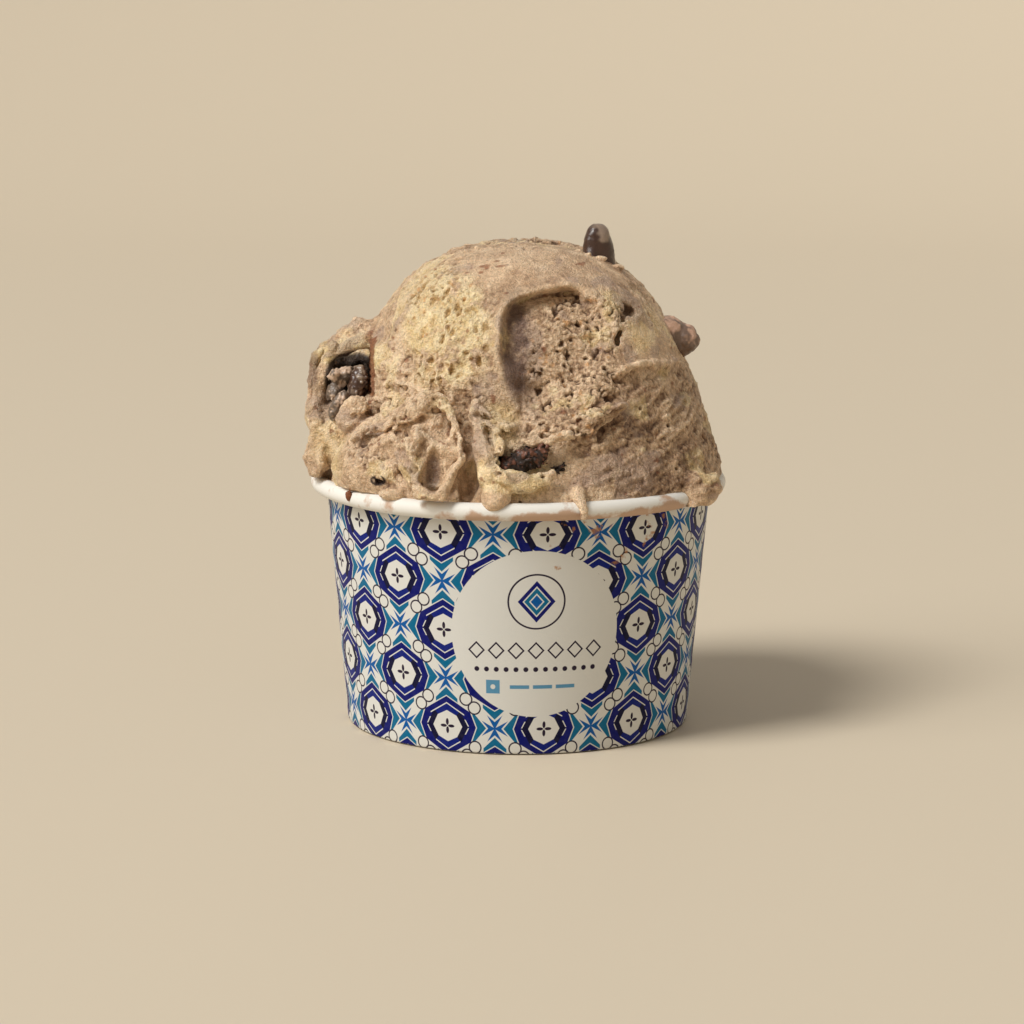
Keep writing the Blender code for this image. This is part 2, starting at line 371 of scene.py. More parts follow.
def paint(piece, name, colours):
    """Store a colour for each vertex."""
    layer = piece.data.color_attributes.new(name, "FLOAT_COLOR", "POINT")
    rows = np.ones((len(colours), 4), np.float32)
    rows[:, :3] = colours
    layer.data.foreach_set("color", rows.ravel())


def settle(piece, material, slot, *nodes):
    """Hand a piece over to the frame."""
    piece.data.materials.append(material)
    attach(piece, "root")
    if nodes:
        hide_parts(*nodes)


# ---------------------------------------------------------------------------- materials


def maths(operation):
    """A method that feeds its value and any others into one maths node."""
    def method(self, *others):
        made = self.tree.nodes.new("ShaderNodeMath")
        made.operation = operation
        for socket, value in zip(made.inputs, (self,) + others):
            if isinstance(value, Sums):
                self.tree.links.new(value.socket, socket)
            else:
                socket.default_value = value
        return Sums(self.tree, made.outputs[0])
    return method


class Sums:
    """Writes shader maths as plain arithmetic on sockets."""

    __add__ = __radd__ = maths("ADD")
    __sub__ = maths("SUBTRACT")
    __mul__ = __rmul__ = maths("MULTIPLY")
    __truediv__ = maths("DIVIDE")
    __abs__ = maths("ABSOLUTE")
    least = maths("MINIMUM")
    most = maths("MAXIMUM")
    root = maths("SQRT")
    power = maths("POWER")
    nearest = maths("ROUND")
    angle = maths("ARCTAN2")

    def __init__(self, tree, socket):
        self.tree, self.socket = tree, socket

    def __rsub__(self, other):
        return self * -1.0 + other

    def over(self, edge, soft=0.05):
        """1 where the value is over edge, 0 under it."""
        return 1.0 - self.within(edge, soft)

    def within(self, edge, soft=0.05):
        """1 where the value is under edge, 0 above it."""
        made = self.tree.nodes.new("ShaderNodeMapRange")
        made.inputs["From Min"].default_value = edge - soft
        made.inputs["From Max"].default_value = edge + soft
        made.inputs["To Min"].default_value = 1.0
        made.inputs["To Max"].default_value = 0.0
        self.tree.links.new(self.socket, made.inputs["Value"])
        return Sums(self.tree, made.outputs["Result"])


def new_material(name, roughness=0.5, **values):
    """A Principled material with constant values on its sockets."""
    made = bpy.data.materials.new(name)
    made.use_nodes = True
    shader = made.node_tree.nodes["Principled BSDF"]
    shader.inputs["Roughness"].default_value = roughness
    for key, value in values.items():
        shader.inputs[key.replace("_", " ")].default_value = value
    return made, made.node_tree, shader


def noise_node(tree, scale, detail=3.0, roughness=0.55):
    """A noise texture in object space, with features of 1/scale metres."""
    place = tree.nodes.new("ShaderNodeTexCoord")
    made = tree.nodes.new("ShaderNodeTexNoise")
    made.inputs["Scale"].default_value = scale
    made.inputs["Detail"].default_value = detail
    made.inputs["Roughness"].default_value = roughness
    tree.links.new(place.outputs["Object"], made.inputs["Vector"])
    return made.outputs["Fac"]


def mix_colour(tree, factor, first, second, blend="MIX"):
    """Mix two colours, each a socket or a value, by a socket or a value."""
    made = tree.nodes.new("ShaderNodeMix")
    made.data_type = "RGBA"
    made.blend_type = blend
    made.clamp_factor = True
    for socket, value in ((made.inputs[0], factor), (made.inputs[6], first),
                          (made.inputs[7], second)):
        value = value.socket if isinstance(value, Sums) else value
        if isinstance(value, bpy.types.NodeSocket):
            tree.links.new(value, socket)
        elif isinstance(value, (tuple, list)):
            socket.default_value = (*value, 1.0)
        else:
            socket.default_value = value
    return made.outputs[2]


def painted(tree, name):
    """The node that reads what paint stored."""
    made = tree.nodes.new("ShaderNodeAttribute")
    made.attribute_name = name
    return made


def shade_tint(tree, shader, shade):
    """Base colour from the painted tint, made lighter or darker by a value near 1."""
    grey = tree.nodes.new("ShaderNodeCombineColor")
    for socket in grey.inputs:
        tree.links.new(shade.socket, socket)
    tint = painted(tree, "tint").outputs["Color"]
    colour = mix_colour(tree, 1.0, tint, grey.outputs["Color"], "MULTIPLY")
    tree.links.new(colour, shader.inputs["Base Color"])


def add_bump(tree, shader, height, strength, distance):
    """Bump from a height socket, distance in metres."""
    bump = tree.nodes.new("ShaderNodeBump")
    bump.inputs["Strength"].default_value = strength
    bump.inputs["Distance"].default_value = distance
    tree.links.new(height.socket if isinstance(height, Sums) else height, bump.inputs["Height"])
    tree.links.new(bump.outputs["Normal"], shader.inputs["Normal"])


# ---------------------------------------------------------------------------- cup

# The printed pattern, unrolled: degrees across and millimetres up
PRINT_TURN = 8.5
PRINT_HEIGHT = 50.2
PRINT_HALF_TURN = 15.675
PRINT_HALF_WIDTH = 11.35
PRINT_HALF_HEIGHT = 11.03
LABEL_TURN = 5.6
LABEL_HEIGHT = 27.75
LABEL_RADIUS = 18.85
MEAN_RADIUS = 41.6

# Print and paper colours, linear
PAPER_WHITE = (0.660, 0.660, 0.630)
RIM_WHITE = (0.780, 0.765, 0.720)
NAVY = (0.0, 0.004, 0.130)
DEEP_BLUE = (0.0, 0.010, 0.170)
NIGHT = (0.0, 0.001, 0.030)
TEAL = (0.0, 0.125, 0.255)
STAR_BLUE = (0.0, 0.090, 0.330)
INK = (0.018, 0.010, 0.030)
PALE_BLUE = (0.09, 0.26, 0.42)
STAIN = (0.42, 0.185, 0.055)


def object_place(tree):
    """Object coordinates in millimetres, as three values."""
    place = tree.nodes.new("ShaderNodeTexCoord")
    split = tree.nodes.new("ShaderNodeSeparateXYZ")
    tree.links.new(place.outputs["Object"], split.inputs[0])
    return [Sums(tree, socket) * (1 / MM) for socket in split.outputs]


def chevron(x, y, reach, slant):
    """Distance past a pointed edge whose tip is at reach on the x axis."""
    return x + y * slant - reach


def medallion_layers(x, y, up):
    """The eight-sided medallion's masks in one quarter, x and y being distances from its centre.

    Each chevron's last two numbers are its tip's distance and how fast its sides fall away.
    """
    outer = chevron(x, y, 6.95, 0.38).most(chevron(y, x, 6.85, 0.60))
    centre = chevron(x, y, 3.65, 0.53).most(chevron(y, x, 3.6, 0.49))
    tall = (y - x * 1.1).over(0.0)
    band = centre.within(1.5)
    line = abs(centre - 1.62).within(0.13, 0.04)
    ticks = (y - 0.2).over(0) * y.within(1.7) * (x - y).over(0)
    roof = abs(chevron(y, x, 5.3, 0.6)).within(0.14, 0.04) * (x - up * 1.1).within(3.1)
    lines = (line * ticks).most(roof)
    return outer, centre, tall, band, lines


def star_arms(x, y):
    """Distance past the edge of a four-armed star with notched arms, centred on (0, 0)."""
    across = (y - x * 0.55 - 0.10).most(x - y * 0.85 - 1.55)
    upright = (x - y * 0.55 - 0.10).most(y - x * 0.85 - 1.55)
    return across.least(upright)


def ring(x, y, centre, radius, line):
    """Mask of a thin ring."""
    return abs(((x - centre[0]).power(2) + (y - centre[1]).power(2)).root() - radius).within(line)


def linked_rings(x, y):
    """Two rings that touch at (0, 0), along the falling diagonal."""
    return ring(x, y, (0.97, -0.97), 1.40, 0.17).most(ring(x, y, (-0.97, 0.97), 1.40, 0.17))


def print_pattern(tree, turn, height):
    """The repeat: medallions, chevrons, stars and linked rings."""
    u = (turn - PRINT_TURN) / PRINT_HALF_TURN
    v = (height - PRINT_HEIGHT) / PRINT_HALF_HEIGHT
    a = (u + v) / 2
    b = (u - v) / 2
    a = a - a.nearest()
    b = b - b.nearest()
    x = abs(a + b) * PRINT_HALF_WIDTH
    y = abs(a - b) * PRINT_HALF_HEIGHT
    up = (a - b).over(0)
    outer, centre, tall, band, lines = medallion_layers(x, y, up)
    teal = chevron(x, y, 9.35, 0.85).most(y - 3.1).least(chevron(y, x, 8.95, 0.95).most(x - 2.7))
    teal = teal.most(0.26 - outer).within(0)
    arms = star_arms(PRINT_HALF_WIDTH - x, y).least(star_arms(x, PRINT_HALF_HEIGHT - y)).within(0)
    rings = linked_rings(x - PRINT_HALF_WIDTH / 2, y - PRINT_HALF_HEIGHT / 2)
    petals = ((x - 0.95).power(2) / 0.62 + y.power(2) / 0.13).within(1, 0.15)
    petals = petals.most((x.power(2) / 0.13 + (y - 0.95).power(2) / 0.62).within(1, 0.15))
    colour = mix_colour(tree, teal, PAPER_WHITE, TEAL)
    colour = mix_colour(tree, arms, colour, STAR_BLUE)
    colour = mix_colour(tree, rings, colour, INK)
    colour = mix_colour(tree, outer.within(0), colour, NAVY)
    inner = mix_colour(tree, tall, NIGHT, DEEP_BLUE)
    colour = mix_colour(tree, band, colour, inner)
    colour = mix_colour(tree, lines * outer.within(0), colour, PAPER_WHITE)
    colour = mix_colour(tree, centre.within(0), colour, PAPER_WHITE)
    return mix_colour(tree, petals, colour, INK)


def print_label(tree, x, y):
    """Plain shapes that stand in for the label: ringed diamonds, a chain, dots, a tile, bars."""
    reach = (x.power(2) + (y - 7.4).power(2)).root()
    colour = mix_colour(tree, abs(reach - 6.1).within(0.2), PAPER_WHITE, INK)
    size = abs(x) * 1.15 + abs(y - 7.4)
    for edge, shade in ((4.7, NAVY), (3.5, PAPER_WHITE), (3.1, TEAL), (1.9, PAPER_WHITE),
                        (1.5, STAR_BLUE)):
        colour = mix_colour(tree, size.within(edge), colour, shade)
    step = x / 4.4
    link = abs(abs(step - step.nearest()) * 4.4 * 1.05 + abs(y + 3.7) - 1.75)
    link = link.within(0.26) * abs(x).within(15.3)
    step = x / 2.2
    dots = (((step - step.nearest()) * 2.2).power(2) + (y + 8.0).power(2)).within(0.32, 0.08)
    dots = dots * abs(x).within(14.2)
    colour = mix_colour(tree, link.most(dots), colour, INK)
    tile = abs(x + 9.6).most(abs(y + 12.0)).within(1.55) * (
        (x + 9.6).power(2) + (y + 12.0).power(2)).root().over(0.55)
    bar = (x - 1.6) / 5.2
    bars = abs(bar - bar.nearest()).within(0.42, 0.02) * abs(y + 12.0).within(0.42)
    bars = bars * abs(x - 1.6).within(7.9)
    return mix_colour(tree, tile.most(bars), colour, PALE_BLUE)


def printed_paper():
    """Coated paper with the print, white on the roll, and gelato stains near the rim."""
    made, tree, shader = new_material("printed_paper", 0.45, IOR=1.22)
    x, y, z = object_place(tree)
    turn = x.angle(y * -1.0) * math.degrees(1)
    turn = turn + turn.within(LAP_END - 360) * 360.0
    radius = (x.power(2) + y.power(2)).root()
    pattern = print_pattern(tree, turn, z)
    across = (turn - LABEL_TURN) * math.radians(MEAN_RADIUS)
    up = z - LABEL_HEIGHT
    disc = (across.power(2) + up.power(2)).root().within(LABEL_RADIUS)
    colour = mix_colour(tree, disc, pattern, print_label(tree, across, up))
    outside = (radius - z * WALL_SLOPE).over(FOOT_RADIUS - PAPER / 2)
    colour = mix_colour(tree, outside, PAPER_WHITE, colour)
    proud = (radius - z * WALL_SLOPE - FOOT_RADIUS).over(0.5, 0.04)
    roll = (proud * z.over(ROLL_Z - ROLL_RADIUS - 0.6)).most(z.over(ROLL_Z))
    colour = mix_colour(tree, roll, colour, RIM_WHITE)
    blot = Sums(tree, noise_node(tree, 170, 4.0, 0.6))
    low = z.within(ROLL_Z + 0.1, 0.8) * turn.over(-10, 16) * turn.within(56, 10)
    stain = (blot + low * 0.33).over(0.64, 0.07) * roll
    fine = Sums(tree, noise_node(tree, 620, 3.0, 0.7))
    colour = mix_colour(tree, stain * 0.7, colour, STAIN)
    smear = (blot + fine * 0.25 + z * 0.004).over(0.985, 0.03) * turn.over(6, 4)
    smear = smear * turn.within(62, 6) * (1.0 - roll) * outside
    colour = mix_colour(tree, smear * 0.8, colour, STAIN)
    mottle = Sums(tree, noise_node(tree, 900, 2.0, 0.5))
    colour = mix_colour(tree, (mottle - 0.35).most(0.0) * 0.05, colour, (0.62, 0.55, 0.45))
    tree.links.new(colour, shader.inputs["Base Color"])
    rough = (mottle - 0.5) * 0.2 + 0.46 + smear * 0.2
    tree.links.new(rough.socket, shader.inputs["Roughness"])
    add_bump(tree, shader, fine * 0.4 + stain * 0.6 + smear * 0.8, 0.25, 0.00012)
    return made


def plain_paper():
    """The uncoated white board of the base."""
    made, tree, shader = new_material("white_paper", 0.7)
    fibre = noise_node(tree, 1500, 4.0, 0.6)
    colour = mix_colour(tree, fibre, (0.72, 0.68, 0.60), (0.84, 0.80, 0.72))
    tree.links.new(colour, shader.inputs["Base Color"])
    add_bump(tree, shader, fibre, 0.3, 0.0001)
    return made


def sheet_rows():
    """The sheet's profile from the roll down to the hem: radius, height and the lap's share."""
    middle = PAPER / 2
    reach = ROLL_RADIUS - middle
    arc = np.radians(np.linspace(ROLL_START, ROLL_END, 28))
    rows = [(ROLL_R + reach * math.cos(a), ROLL_Z + reach * math.sin(a), 0.2) for a in arc]
    heights = np.linspace(ROLL_Z - 3, 0.75, 24)
    rows += [(FOOT_RADIUS + WALL_SLOPE * h - middle, h, 1.0) for h in heights]
    fold = FOOT_RADIUS - middle
    rows += [(fold + 0.02, 0.52, 1.0), (fold - 0.12, PAPER, 0.5), (fold - HEM_IN, PAPER, 0.0),
             (fold - HEM_IN + WALL_SLOPE * HEM_TOP, HEM_TOP, 0.0)]
    return np.array(rows)


def sheet_points(around):
    """The sheet's points, a row for each of the profile's points, swaying a little at the rim."""
    rows = sheet_rows()
    lap = np.where((around > LAP_START) & (around < LAP_END), 0.8 * PAPER, 0)
    turn = np.radians(around)
    sway = 0.10 * np.sin(2 * turn + 1) + 0.06 * np.sin(3 * turn + 2.2) + 0.03 * np.sin(7 * turn)
    lift = 0.10 * np.sin(2 * turn + 0.4) + 0.05 * np.sin(5 * turn + 1)
    upper = (rows[:, 1] / CUP_HEIGHT)[:, None]
    radius = rows[:, :1] + rows[:, 2:] * lap + sway * upper
    height = rows[:, 1:2] + lift * ramp(upper, 0.75, 1.0)
    return np.stack([radius * np.sin(turn), -radius * np.cos(turn), height], -1)


def build_cup():
    """The sheet: rolled rim, slanted wall with a lap at the back, foot fold and hem."""
    lap = [LAP_START + LAP_STEP, LAP_END - LAP_STEP, LAP_END]
    around = np.sort(np.concatenate([np.arange(0, 360, AROUND_STEP), lap]))
    points = sheet_points(around)
    index = np.arange(points.shape[0] * points.shape[1]).reshape(points.shape[:2])
    beside = np.roll(index, -1, 1)
    faces = np.stack([index[:-1], index[1:], beside[1:], beside[:-1]], -1).reshape(-1, 4)
    cup = mesh_object("cup_paper", points.reshape(-1, 3), faces)
    solid = cup.modifiers.new("paper", "SOLIDIFY")
    solid.thickness = PAPER * MM
    solid.offset = 0.0
    settle(cup, printed_paper(), "printed_paper", "cup_wall")


def dress_base():
    """White board on the frame's own base."""
    base = bpy.data.objects["cup_base"]
    base.data.materials.clear()
    base.data.materials.append(plain_paper())


# ---------------------------------------------------------------------------- pieces

# Chocolate colours, linear
DARK = np.array((0.040, 0.018, 0.011))
DARK_RED = np.array((0.115, 0.040, 0.020))
# The pale bloom colour is also the painted highlight on the ridges of the pieces
BLOOM_AND_HIGHLIGHT = np.array((0.250, 0.180, 0.130))
COATING = np.array((0.210, 0.130, 0.090))


def piece_material(name, roughness, bump):
    """Painted chocolate or crumb."""
    made, tree, shader = new_material(name, roughness, Coat_Weight=0.3, Coat_Roughness=0.2)
    grain = Sums(tree, noise_node(tree, 2400, 3.0, 0.65))
    shade_tint(tree, shader, (grain - 0.5) * 0.6 + 1.0)
    rough = (grain - 0.5) * 0.3 + roughness
    tree.links.new(rough.socket, shader.inputs["Roughness"])
    add_bump(tree, shader, grain, bump, 0.0003)
    return made


def build_piece(name, slot, material, joined, carved, rough, colours, nodes):
    """A piece from lumps and strands, roughened and painted, with painted highlight on its ridges and
    painted shade in its pits.
    """
    low = np.min([shape[0] for shape in joined], 0) - 1.5
    high = np.max([shape[1] for shape in joined], 0) + 1.5
    field = Field(*[np.arange(a, b, PIECE_STEP) for a, b in zip(low, high)])
    for shape in joined:
        field.join(shape, 0.7)
    for shape in carved:
        field.carve(shape, 0.5)
    flat, points = field.near(1.5)
    size, depth = rough
    crumb = np.abs(lattice(points, size, 301)) + 0.6 * np.abs(lattice(points, size / 2, 302))
    offset = depth * (lattice(points, 2.8 * size, 303) - crumb + 0.4)
    field.values.ravel()[flat] += offset.astype(np.float32)
    points, faces = field.skin()
    points = relax(points, faces, 1, 0.3)
    piece = mesh_object(name, points, faces)
    first, second, patchy, seed = colours
    high = (points[:, 2] - points[:, 2].min()) / np.ptp(points[:, 2])
    relief = ((points - relax(points, faces, 12)) * normals_of(points, faces)).sum(1)
    # Lighter towards the top and with patchy noise; ridges painted lighter as painted highlight and pits
    # darker as painted shade
    level = cloud(points, patchy, seed) + 1.1 * (high - 0.55) + 3.0 * np.clip(relief, -0.3, 0.3)
    part = ramp(level, 0.0, 0.7)[:, None]
    paint(piece, "tint", first * (1 - part) + second * part)
    settle(piece, material, slot, *nodes)


def build_pieces():
    """The chocolate and brownie pieces that stand out of the gelato."""
    dark = piece_material("chocolate", 0.34, 0.25)
    milk = piece_material("coated_chocolate", 0.55, 0.5)
    crumb = piece_material("brownie", 0.8, 0.8)
    build_piece("chocolate_top_nut", "chocolate", dark,
                [lump((17.6, 1.2, 106.8), (3.3, 3.1, 7.2), (0, 3, 0), 2.6),
                 lump((20.2, 1.0, 104.6), (1.7, 2.7, 6.8), (0, -5, 0)),
                 lump((16.2, -0.8, 104.4), (2.0, 2.1, 4.2))],
                [strand([(19.3, -2.4, 110.2, 0.35), (19.9, -2.5, 105.0, 0.4), (19.8, -2.6, 101, 0.3)]),
                 strand([(15.4, -2.6, 107.6, 0.4), (17.6, -3.0, 107.2, 0.4)])],
                (2.4, 0.2), (DARK * 1.3, BLOOM_AND_HIGHLIGHT, 3.2, 311), ["chocolate_top"])
    build_piece("chocolate_right_knob", "coated_chocolate", milk,
                [lump((33.6, -1.6, 88.8), (4.6, 4.6, 4.6)),
                 lump((37.3, -1.8, 88.0), (3.5, 3.6, 3.5), (0, 24, 0))],
                [strand([(35.4, -5.8, 91.4, 0.4), (36.0, -6.0, 87.5, 0.5), (35.6, -5.4, 84.6, 0.3)])],
                (2.2, 0.5), (COATING * 0.8, COATING * 2.6, 2.4, 321), ["chocolate_right"])
    build_piece("brownie_crumb", "brownie", crumb,
                [lump((-1.2, -41.4, 65.0), (2.7, 2.5, 2.0), (0, -12, 0)),
                 lump((1.8, -41.4, 66.3), (3.6, 2.8, 2.3), (0, -24, 0)),
                 lump((4.9, -41.0, 67.9), (2.3, 2.2, 1.6), (0, -24, 0)),
                 lump((8.4, -39.6, 64.0), (1.5, 1.6, 0.9), (0, 20, 0))],
                [], (0.9, 1.1), (DARK * 0.5, DARK_RED * 1.3, 1.1, 331), ["brownie_front"])
    build_piece("chocolate_left_almond", "chocolate", dark,
                [lump((-36.6, -10.4, 77.6), (1.9, 2.4, 5.4), (0, 16, 0)),
                 lump((-35.2, -7.0, 77.6), (2.0, 3.0, 4.0))],
                [], (1.1, 0.6), (DARK * 1.5, BLOOM_AND_HIGHLIGHT, 1.6, 341), ["chocolate_left_high"])
    build_piece("chocolate_left_pebbles", "coated_chocolate", milk,
                [lump((-40.4, -14.0, 74.2), (1.7, 2.3, 3.4), (0, 26, 0)),
                 lump((-41.2, -8.4, 80.0), (1.7, 2.4, 1.9)),
                 lump((-41.4, -8.6, 76.8), (1.9, 2.3, 2.2)),
                 lump((-38.8, -7.8, 80.4), (1.4, 2.3, 1.9))],
                [], (1.0, 0.5), (BLOOM_AND_HIGHLIGHT * 0.6, BLOOM_AND_HIGHLIGHT * 2.4, 1.6, 351), ["chocolate_left_low"])


# ---------------------------------------------------------------------------- gelato

# Gelato colours, linear
# PIT, the darkest stop, is also the painted shade in pores and crevices
PIT = np.array((0.120, 0.060, 0.030))
MILK_DARK = np.array((0.330, 0.195, 0.112))
MILK = np.array((0.560, 0.370, 0.226))
BEIGE = np.array((0.740, 0.525, 0.335))
PALE = np.array((0.900, 0.670, 0.455))
CREAM = np.array((0.830, 0.615, 0.300))
CREAM_LIGHT = np.array((0.930, 0.745, 0.450))
LILAC = np.array((0.450, 0.315, 0.240))
RED_BROWN = np.array((0.260, 0.085, 0.030))
AMBER = np.array((0.620, 0.290, 0.090))
# MAUVE is painted shade on the hollow's wall and in the curl's hollow, and the strip at the left edge
MAUVE = np.array((0.150, 0.085, 0.065))
# The near black is painted shadow in the cavity under the left flap, and the colour of the small dark chunk
COCOA_AND_SHADE = np.array((0.030, 0.015, 0.010))


def add_bodies(field):
    """The scoop, its flanks, the lobe on the left and the mass at the front."""
    field.join(lump((0.8, 2, 74), (36.0, 36, 35.6), squareness=2.3), 2)
    field.join(lump((9, 0, 50), (37.2, 41, 48)), 6)
    field.join(lump((0, -0.5, 53), (44.9, 44.6, 26)), 5)
    field.join(lump((4, 14, 62), (38, 31, 36)), 5)
    field.join(lump((-33, 1, 65), (14.8, 20, 13.5)), 1.2)
    field.join(lump((-35.5, 8, 77), (10.5, 11, 11)), 2)
    field.join(lump((-34, 7, 81), (10, 7.5, 7.5)), 2)
    field.join(lump((-42.6, 0.5, 79.5), (3.4, 5.5, 6.5)), 1.5)
    field.join(lump((-24, -18.5, 61), (17.5, 17.5, 12.5), (0, 0, -12)), 1.6)


def add_lobe_folds(field):
    """The flap that arches over the left hollow, and the lumps round it."""
    field.join(strand([
        (-44.5, -10, 65, 3.0), (-45.4, -7, 74, 1.8), (-44.2, -6.4, 81.0, 1.5),
        (-41.0, -6.6, 85.2, 1.7), (-36, -6, 87.4, 1.9), (-31, -4, 88.6, 2.4)]), 1.2, 0.6)
    field.join(strand([(-44, 4, 70, 4), (-43.5, 6, 81, 4), (-37, 8, 86.5, 4), (-28, 8, 89, 4)]), 3, 1)
    field.carve(lump((-38.0, -9.0, 79.4), (5.2, 9.0, 5.2), (0, 14, -8)), 0.6, 0.7)
    field.carve(lump((-35.4, -14.0, 75.6), (2.0, 6.0, 4.6), (0, 6, 0)), 0.6, 0.5)
    field.carve(lump((-41.8, -13.4, 75.4), (1.2, 4.0, 3.6), (0, -8, 0)), 0.5, 0.5)
    field.join(lump((-37.2, -17.2, 71.6), (4.0, 4.0, 2.6), (0, -26, 0)), 0.8, 0.8)
    field.join(strand([
        (-40.2, -16.0, 71.0, 1.2), (-38.4, -18.4, 74.0, 1.4), (-36.0, -18.8, 75.4, 1.3),
        (-34.4, -18.2, 74.4, 0.8)]), 0.7, 0.4)
    field.carve(lump((-33.6, -18.4, 73.0), (1.8, 3.0, 1.3), (0, 14, 0)), 0.4, 0.3)
    field.join(lump((-45.2, -4, 68.0), (3.0, 6, 4.4)), 1.5, 1.2)
    field.join(lump((-45.0, -9, 61.5), (3.2, 8, 4.0)), 1.5, 1.2)
    field.join(strand([
        (-46.4, -4, 70.5, 1.6), (-46.8, -3.6, 77, 1.3), (-46.2, -3, 82.6, 1.4),
        (-45.0, -3.4, 85.0, 0.9)]), 0.5, 0.5)
    field.join(lump((-41.8, -6.8, 86.6), (1.4, 1.5, 1.7)), 0.2)


def add_front_ridges(field):
    """The mound left of the front, its slanted ridge and groove, and the slit beside them."""
    field.join(lump((-20.5, -30.5, 68.4), (9.2, 6.6, 8.6), (0, -14, 0)), 1.4, 1.0)
    field.join(strand([
        (-38.4, -25.6, 67.6, 0.5), (-34, -28.8, 70.0, 0.9), (-29.5, -30.4, 72.2, 1.1),
        (-25.6, -32.4, 74.4, 1.4), (-21.8, -34.0, 77.0, 1.6), (-18.4, -34.4, 78.6, 1.3)]), 0.4, 0.6)
    field.carve(strand([
        (-27.0, -33.6, 70.8, 0.8), (-23.4, -35.2, 72.9, 1.6), (-19.4, -36.2, 74.6, 1.6),
        (-17.4, -36.0, 75.4, 0.9)]), 0.4, 0.5)
    field.join(strand([
        (-17.0, -34.2, 78.6, 0.9), (-15.2, -37.4, 76.0, 1.4), (-14.2, -39.2, 72.8, 1.4),
        (-15.6, -39.6, 70.2, 1.1), (-18.6, -38.8, 69.8, 0.7)]), 0.4, 0.5)
    field.carve(strand([
        (-12.4, -36.0, 77.6, 0.9), (-11.6, -38.0, 72.8, 1.3), (-11.0, -40.2, 68.4, 1.5)]), 0.4, 0.5)


def add_front_curl(field):
    """The block at the front with its hanging curl, and the hollows in and beside it."""
    field.join(lump((-18.8, -37.6, 65.4), (6.6, 5.4, 6.4), (0, 10, 0), 3.2), 0.8, 0.9)
    field.join(strand([
        (-13.6, -39.0, 72.4, 0.8), (-12.4, -41.8, 69.0, 1.3), (-12.9, -43.4, 66.6, 1.2),
        (-14.8, -44.0, 63.6, 1.3), (-15.6, -44.8, 61.0, 1.5), (-17.6, -45.0, 58.7, 1.9),
        (-20.2, -44.0, 58.8, 1.6), (-21.8, -42.4, 60.8, 0.9)]), 0.5, 0.5)
    field.join(strand([
        (-20.4, -40.8, 68.4, 0.9), (-21.6, -42.2, 65.0, 1.5), (-22.4, -42.8, 61.8, 1.5),
        (-21.6, -43.4, 59.2, 1.3)]), 0.6, 0.6)
    field.carve(strand([
        (-17.8, -42.6, 68.0, 0.7), (-18.3, -43.0, 65.0, 1.7), (-18.6, -43.6, 62.2, 2.0),
        (-18.2, -45.0, 60.8, 1.0)]), 0.4, 0.3)
    field.carve(lump((-10.5, -42.4, 63.2), (2.3, 5.2, 6.0), (0, 8, 0)), 0.5, 0.5)


def add_front_ledge(field):
    """The thick fold above the drop, thin strings, the brownie's pit and the ledge below it."""
    field.join(strand([
        (-9.4, -35.0, 77.6, 0.7), (-9.4, -37.2, 74.2, 1.2), (-8.5, -39.2, 71.2, 1.6),
        (-7.6, -41.2, 68.2, 2.0), (-6.8, -43.0, 65.2, 2.4), (-6.4, -44.0, 62.4, 2.5)]), 0.6, 0.9)
    field.join(lump((-2.6, -36.8, 70.2), (5.4, 3.6, 4.8), (0, 24, 0)), 1.0, 0.5)
    for rows in (
            [(-8.9, -37.2, 76.4, 0.5), (-7.3, -39.4, 73.7, 0.9), (-5.6, -41.0, 71.2, 1.0),
             (-4.7, -41.8, 68.8, 0.8)],
            [(-5.0, -38.4, 74.4, 0.5), (-2.9, -40.4, 71.8, 1.0), (-1.3, -41.2, 69.3, 1.2)]):
        field.carve(strand(rows), 0.3, 0.3)
    for rows in (
            [(-8.2, -36.8, 76.2, 0.4), (-5.9, -39.6, 73.2, 0.5), (-4.2, -41.8, 70.6, 0.6),
             (-3.6, -42.8, 68.4, 0.8)],
            [(-8.2, -36.2, 76.8, 0.4), (-4.8, -38.4, 75.0, 0.8), (-1.0, -40.4, 72.2, 0.9),
             (2.4, -41.6, 70.4, 0.9), (6.4, -42.0, 70.2, 0.8), (11.4, -41.0, 72.0, 0.4)]):
        field.join(strand(rows), 0.35, 0.4)
    field.carve(lump((2.2, -44.6, 66.6), (5.2, 4.8, 2.7), (0, -20, 0)), 0.5, 0.5)
    field.join(strand([
        (-5.6, -44.2, 63.4, 2.0), (-1.4, -45.6, 62.0, 1.9), (3.2, -45.4, 61.6, 1.5),
        (7.6, -44.0, 63.6, 0.9)]), 0.5, 1.1)
    field.carve(strand([
        (-2.0, -46.4, 59.0, 0.9), (3.6, -46.0, 58.8, 1.1), (8.0, -45.0, 60.8, 0.8)]), 0.5, 0.4)
    field.carve(lump((-5.4, -46.8, 61.5), (1.1, 2.2, 1.0), (0, 20, 0)), 0.3, 0.2)
    field.carve(lump((-30.6, -36.0, 60.6), (1.4, 2.4, 1.0), (0, 24, 0), 3.0), 0.3, 0.9)


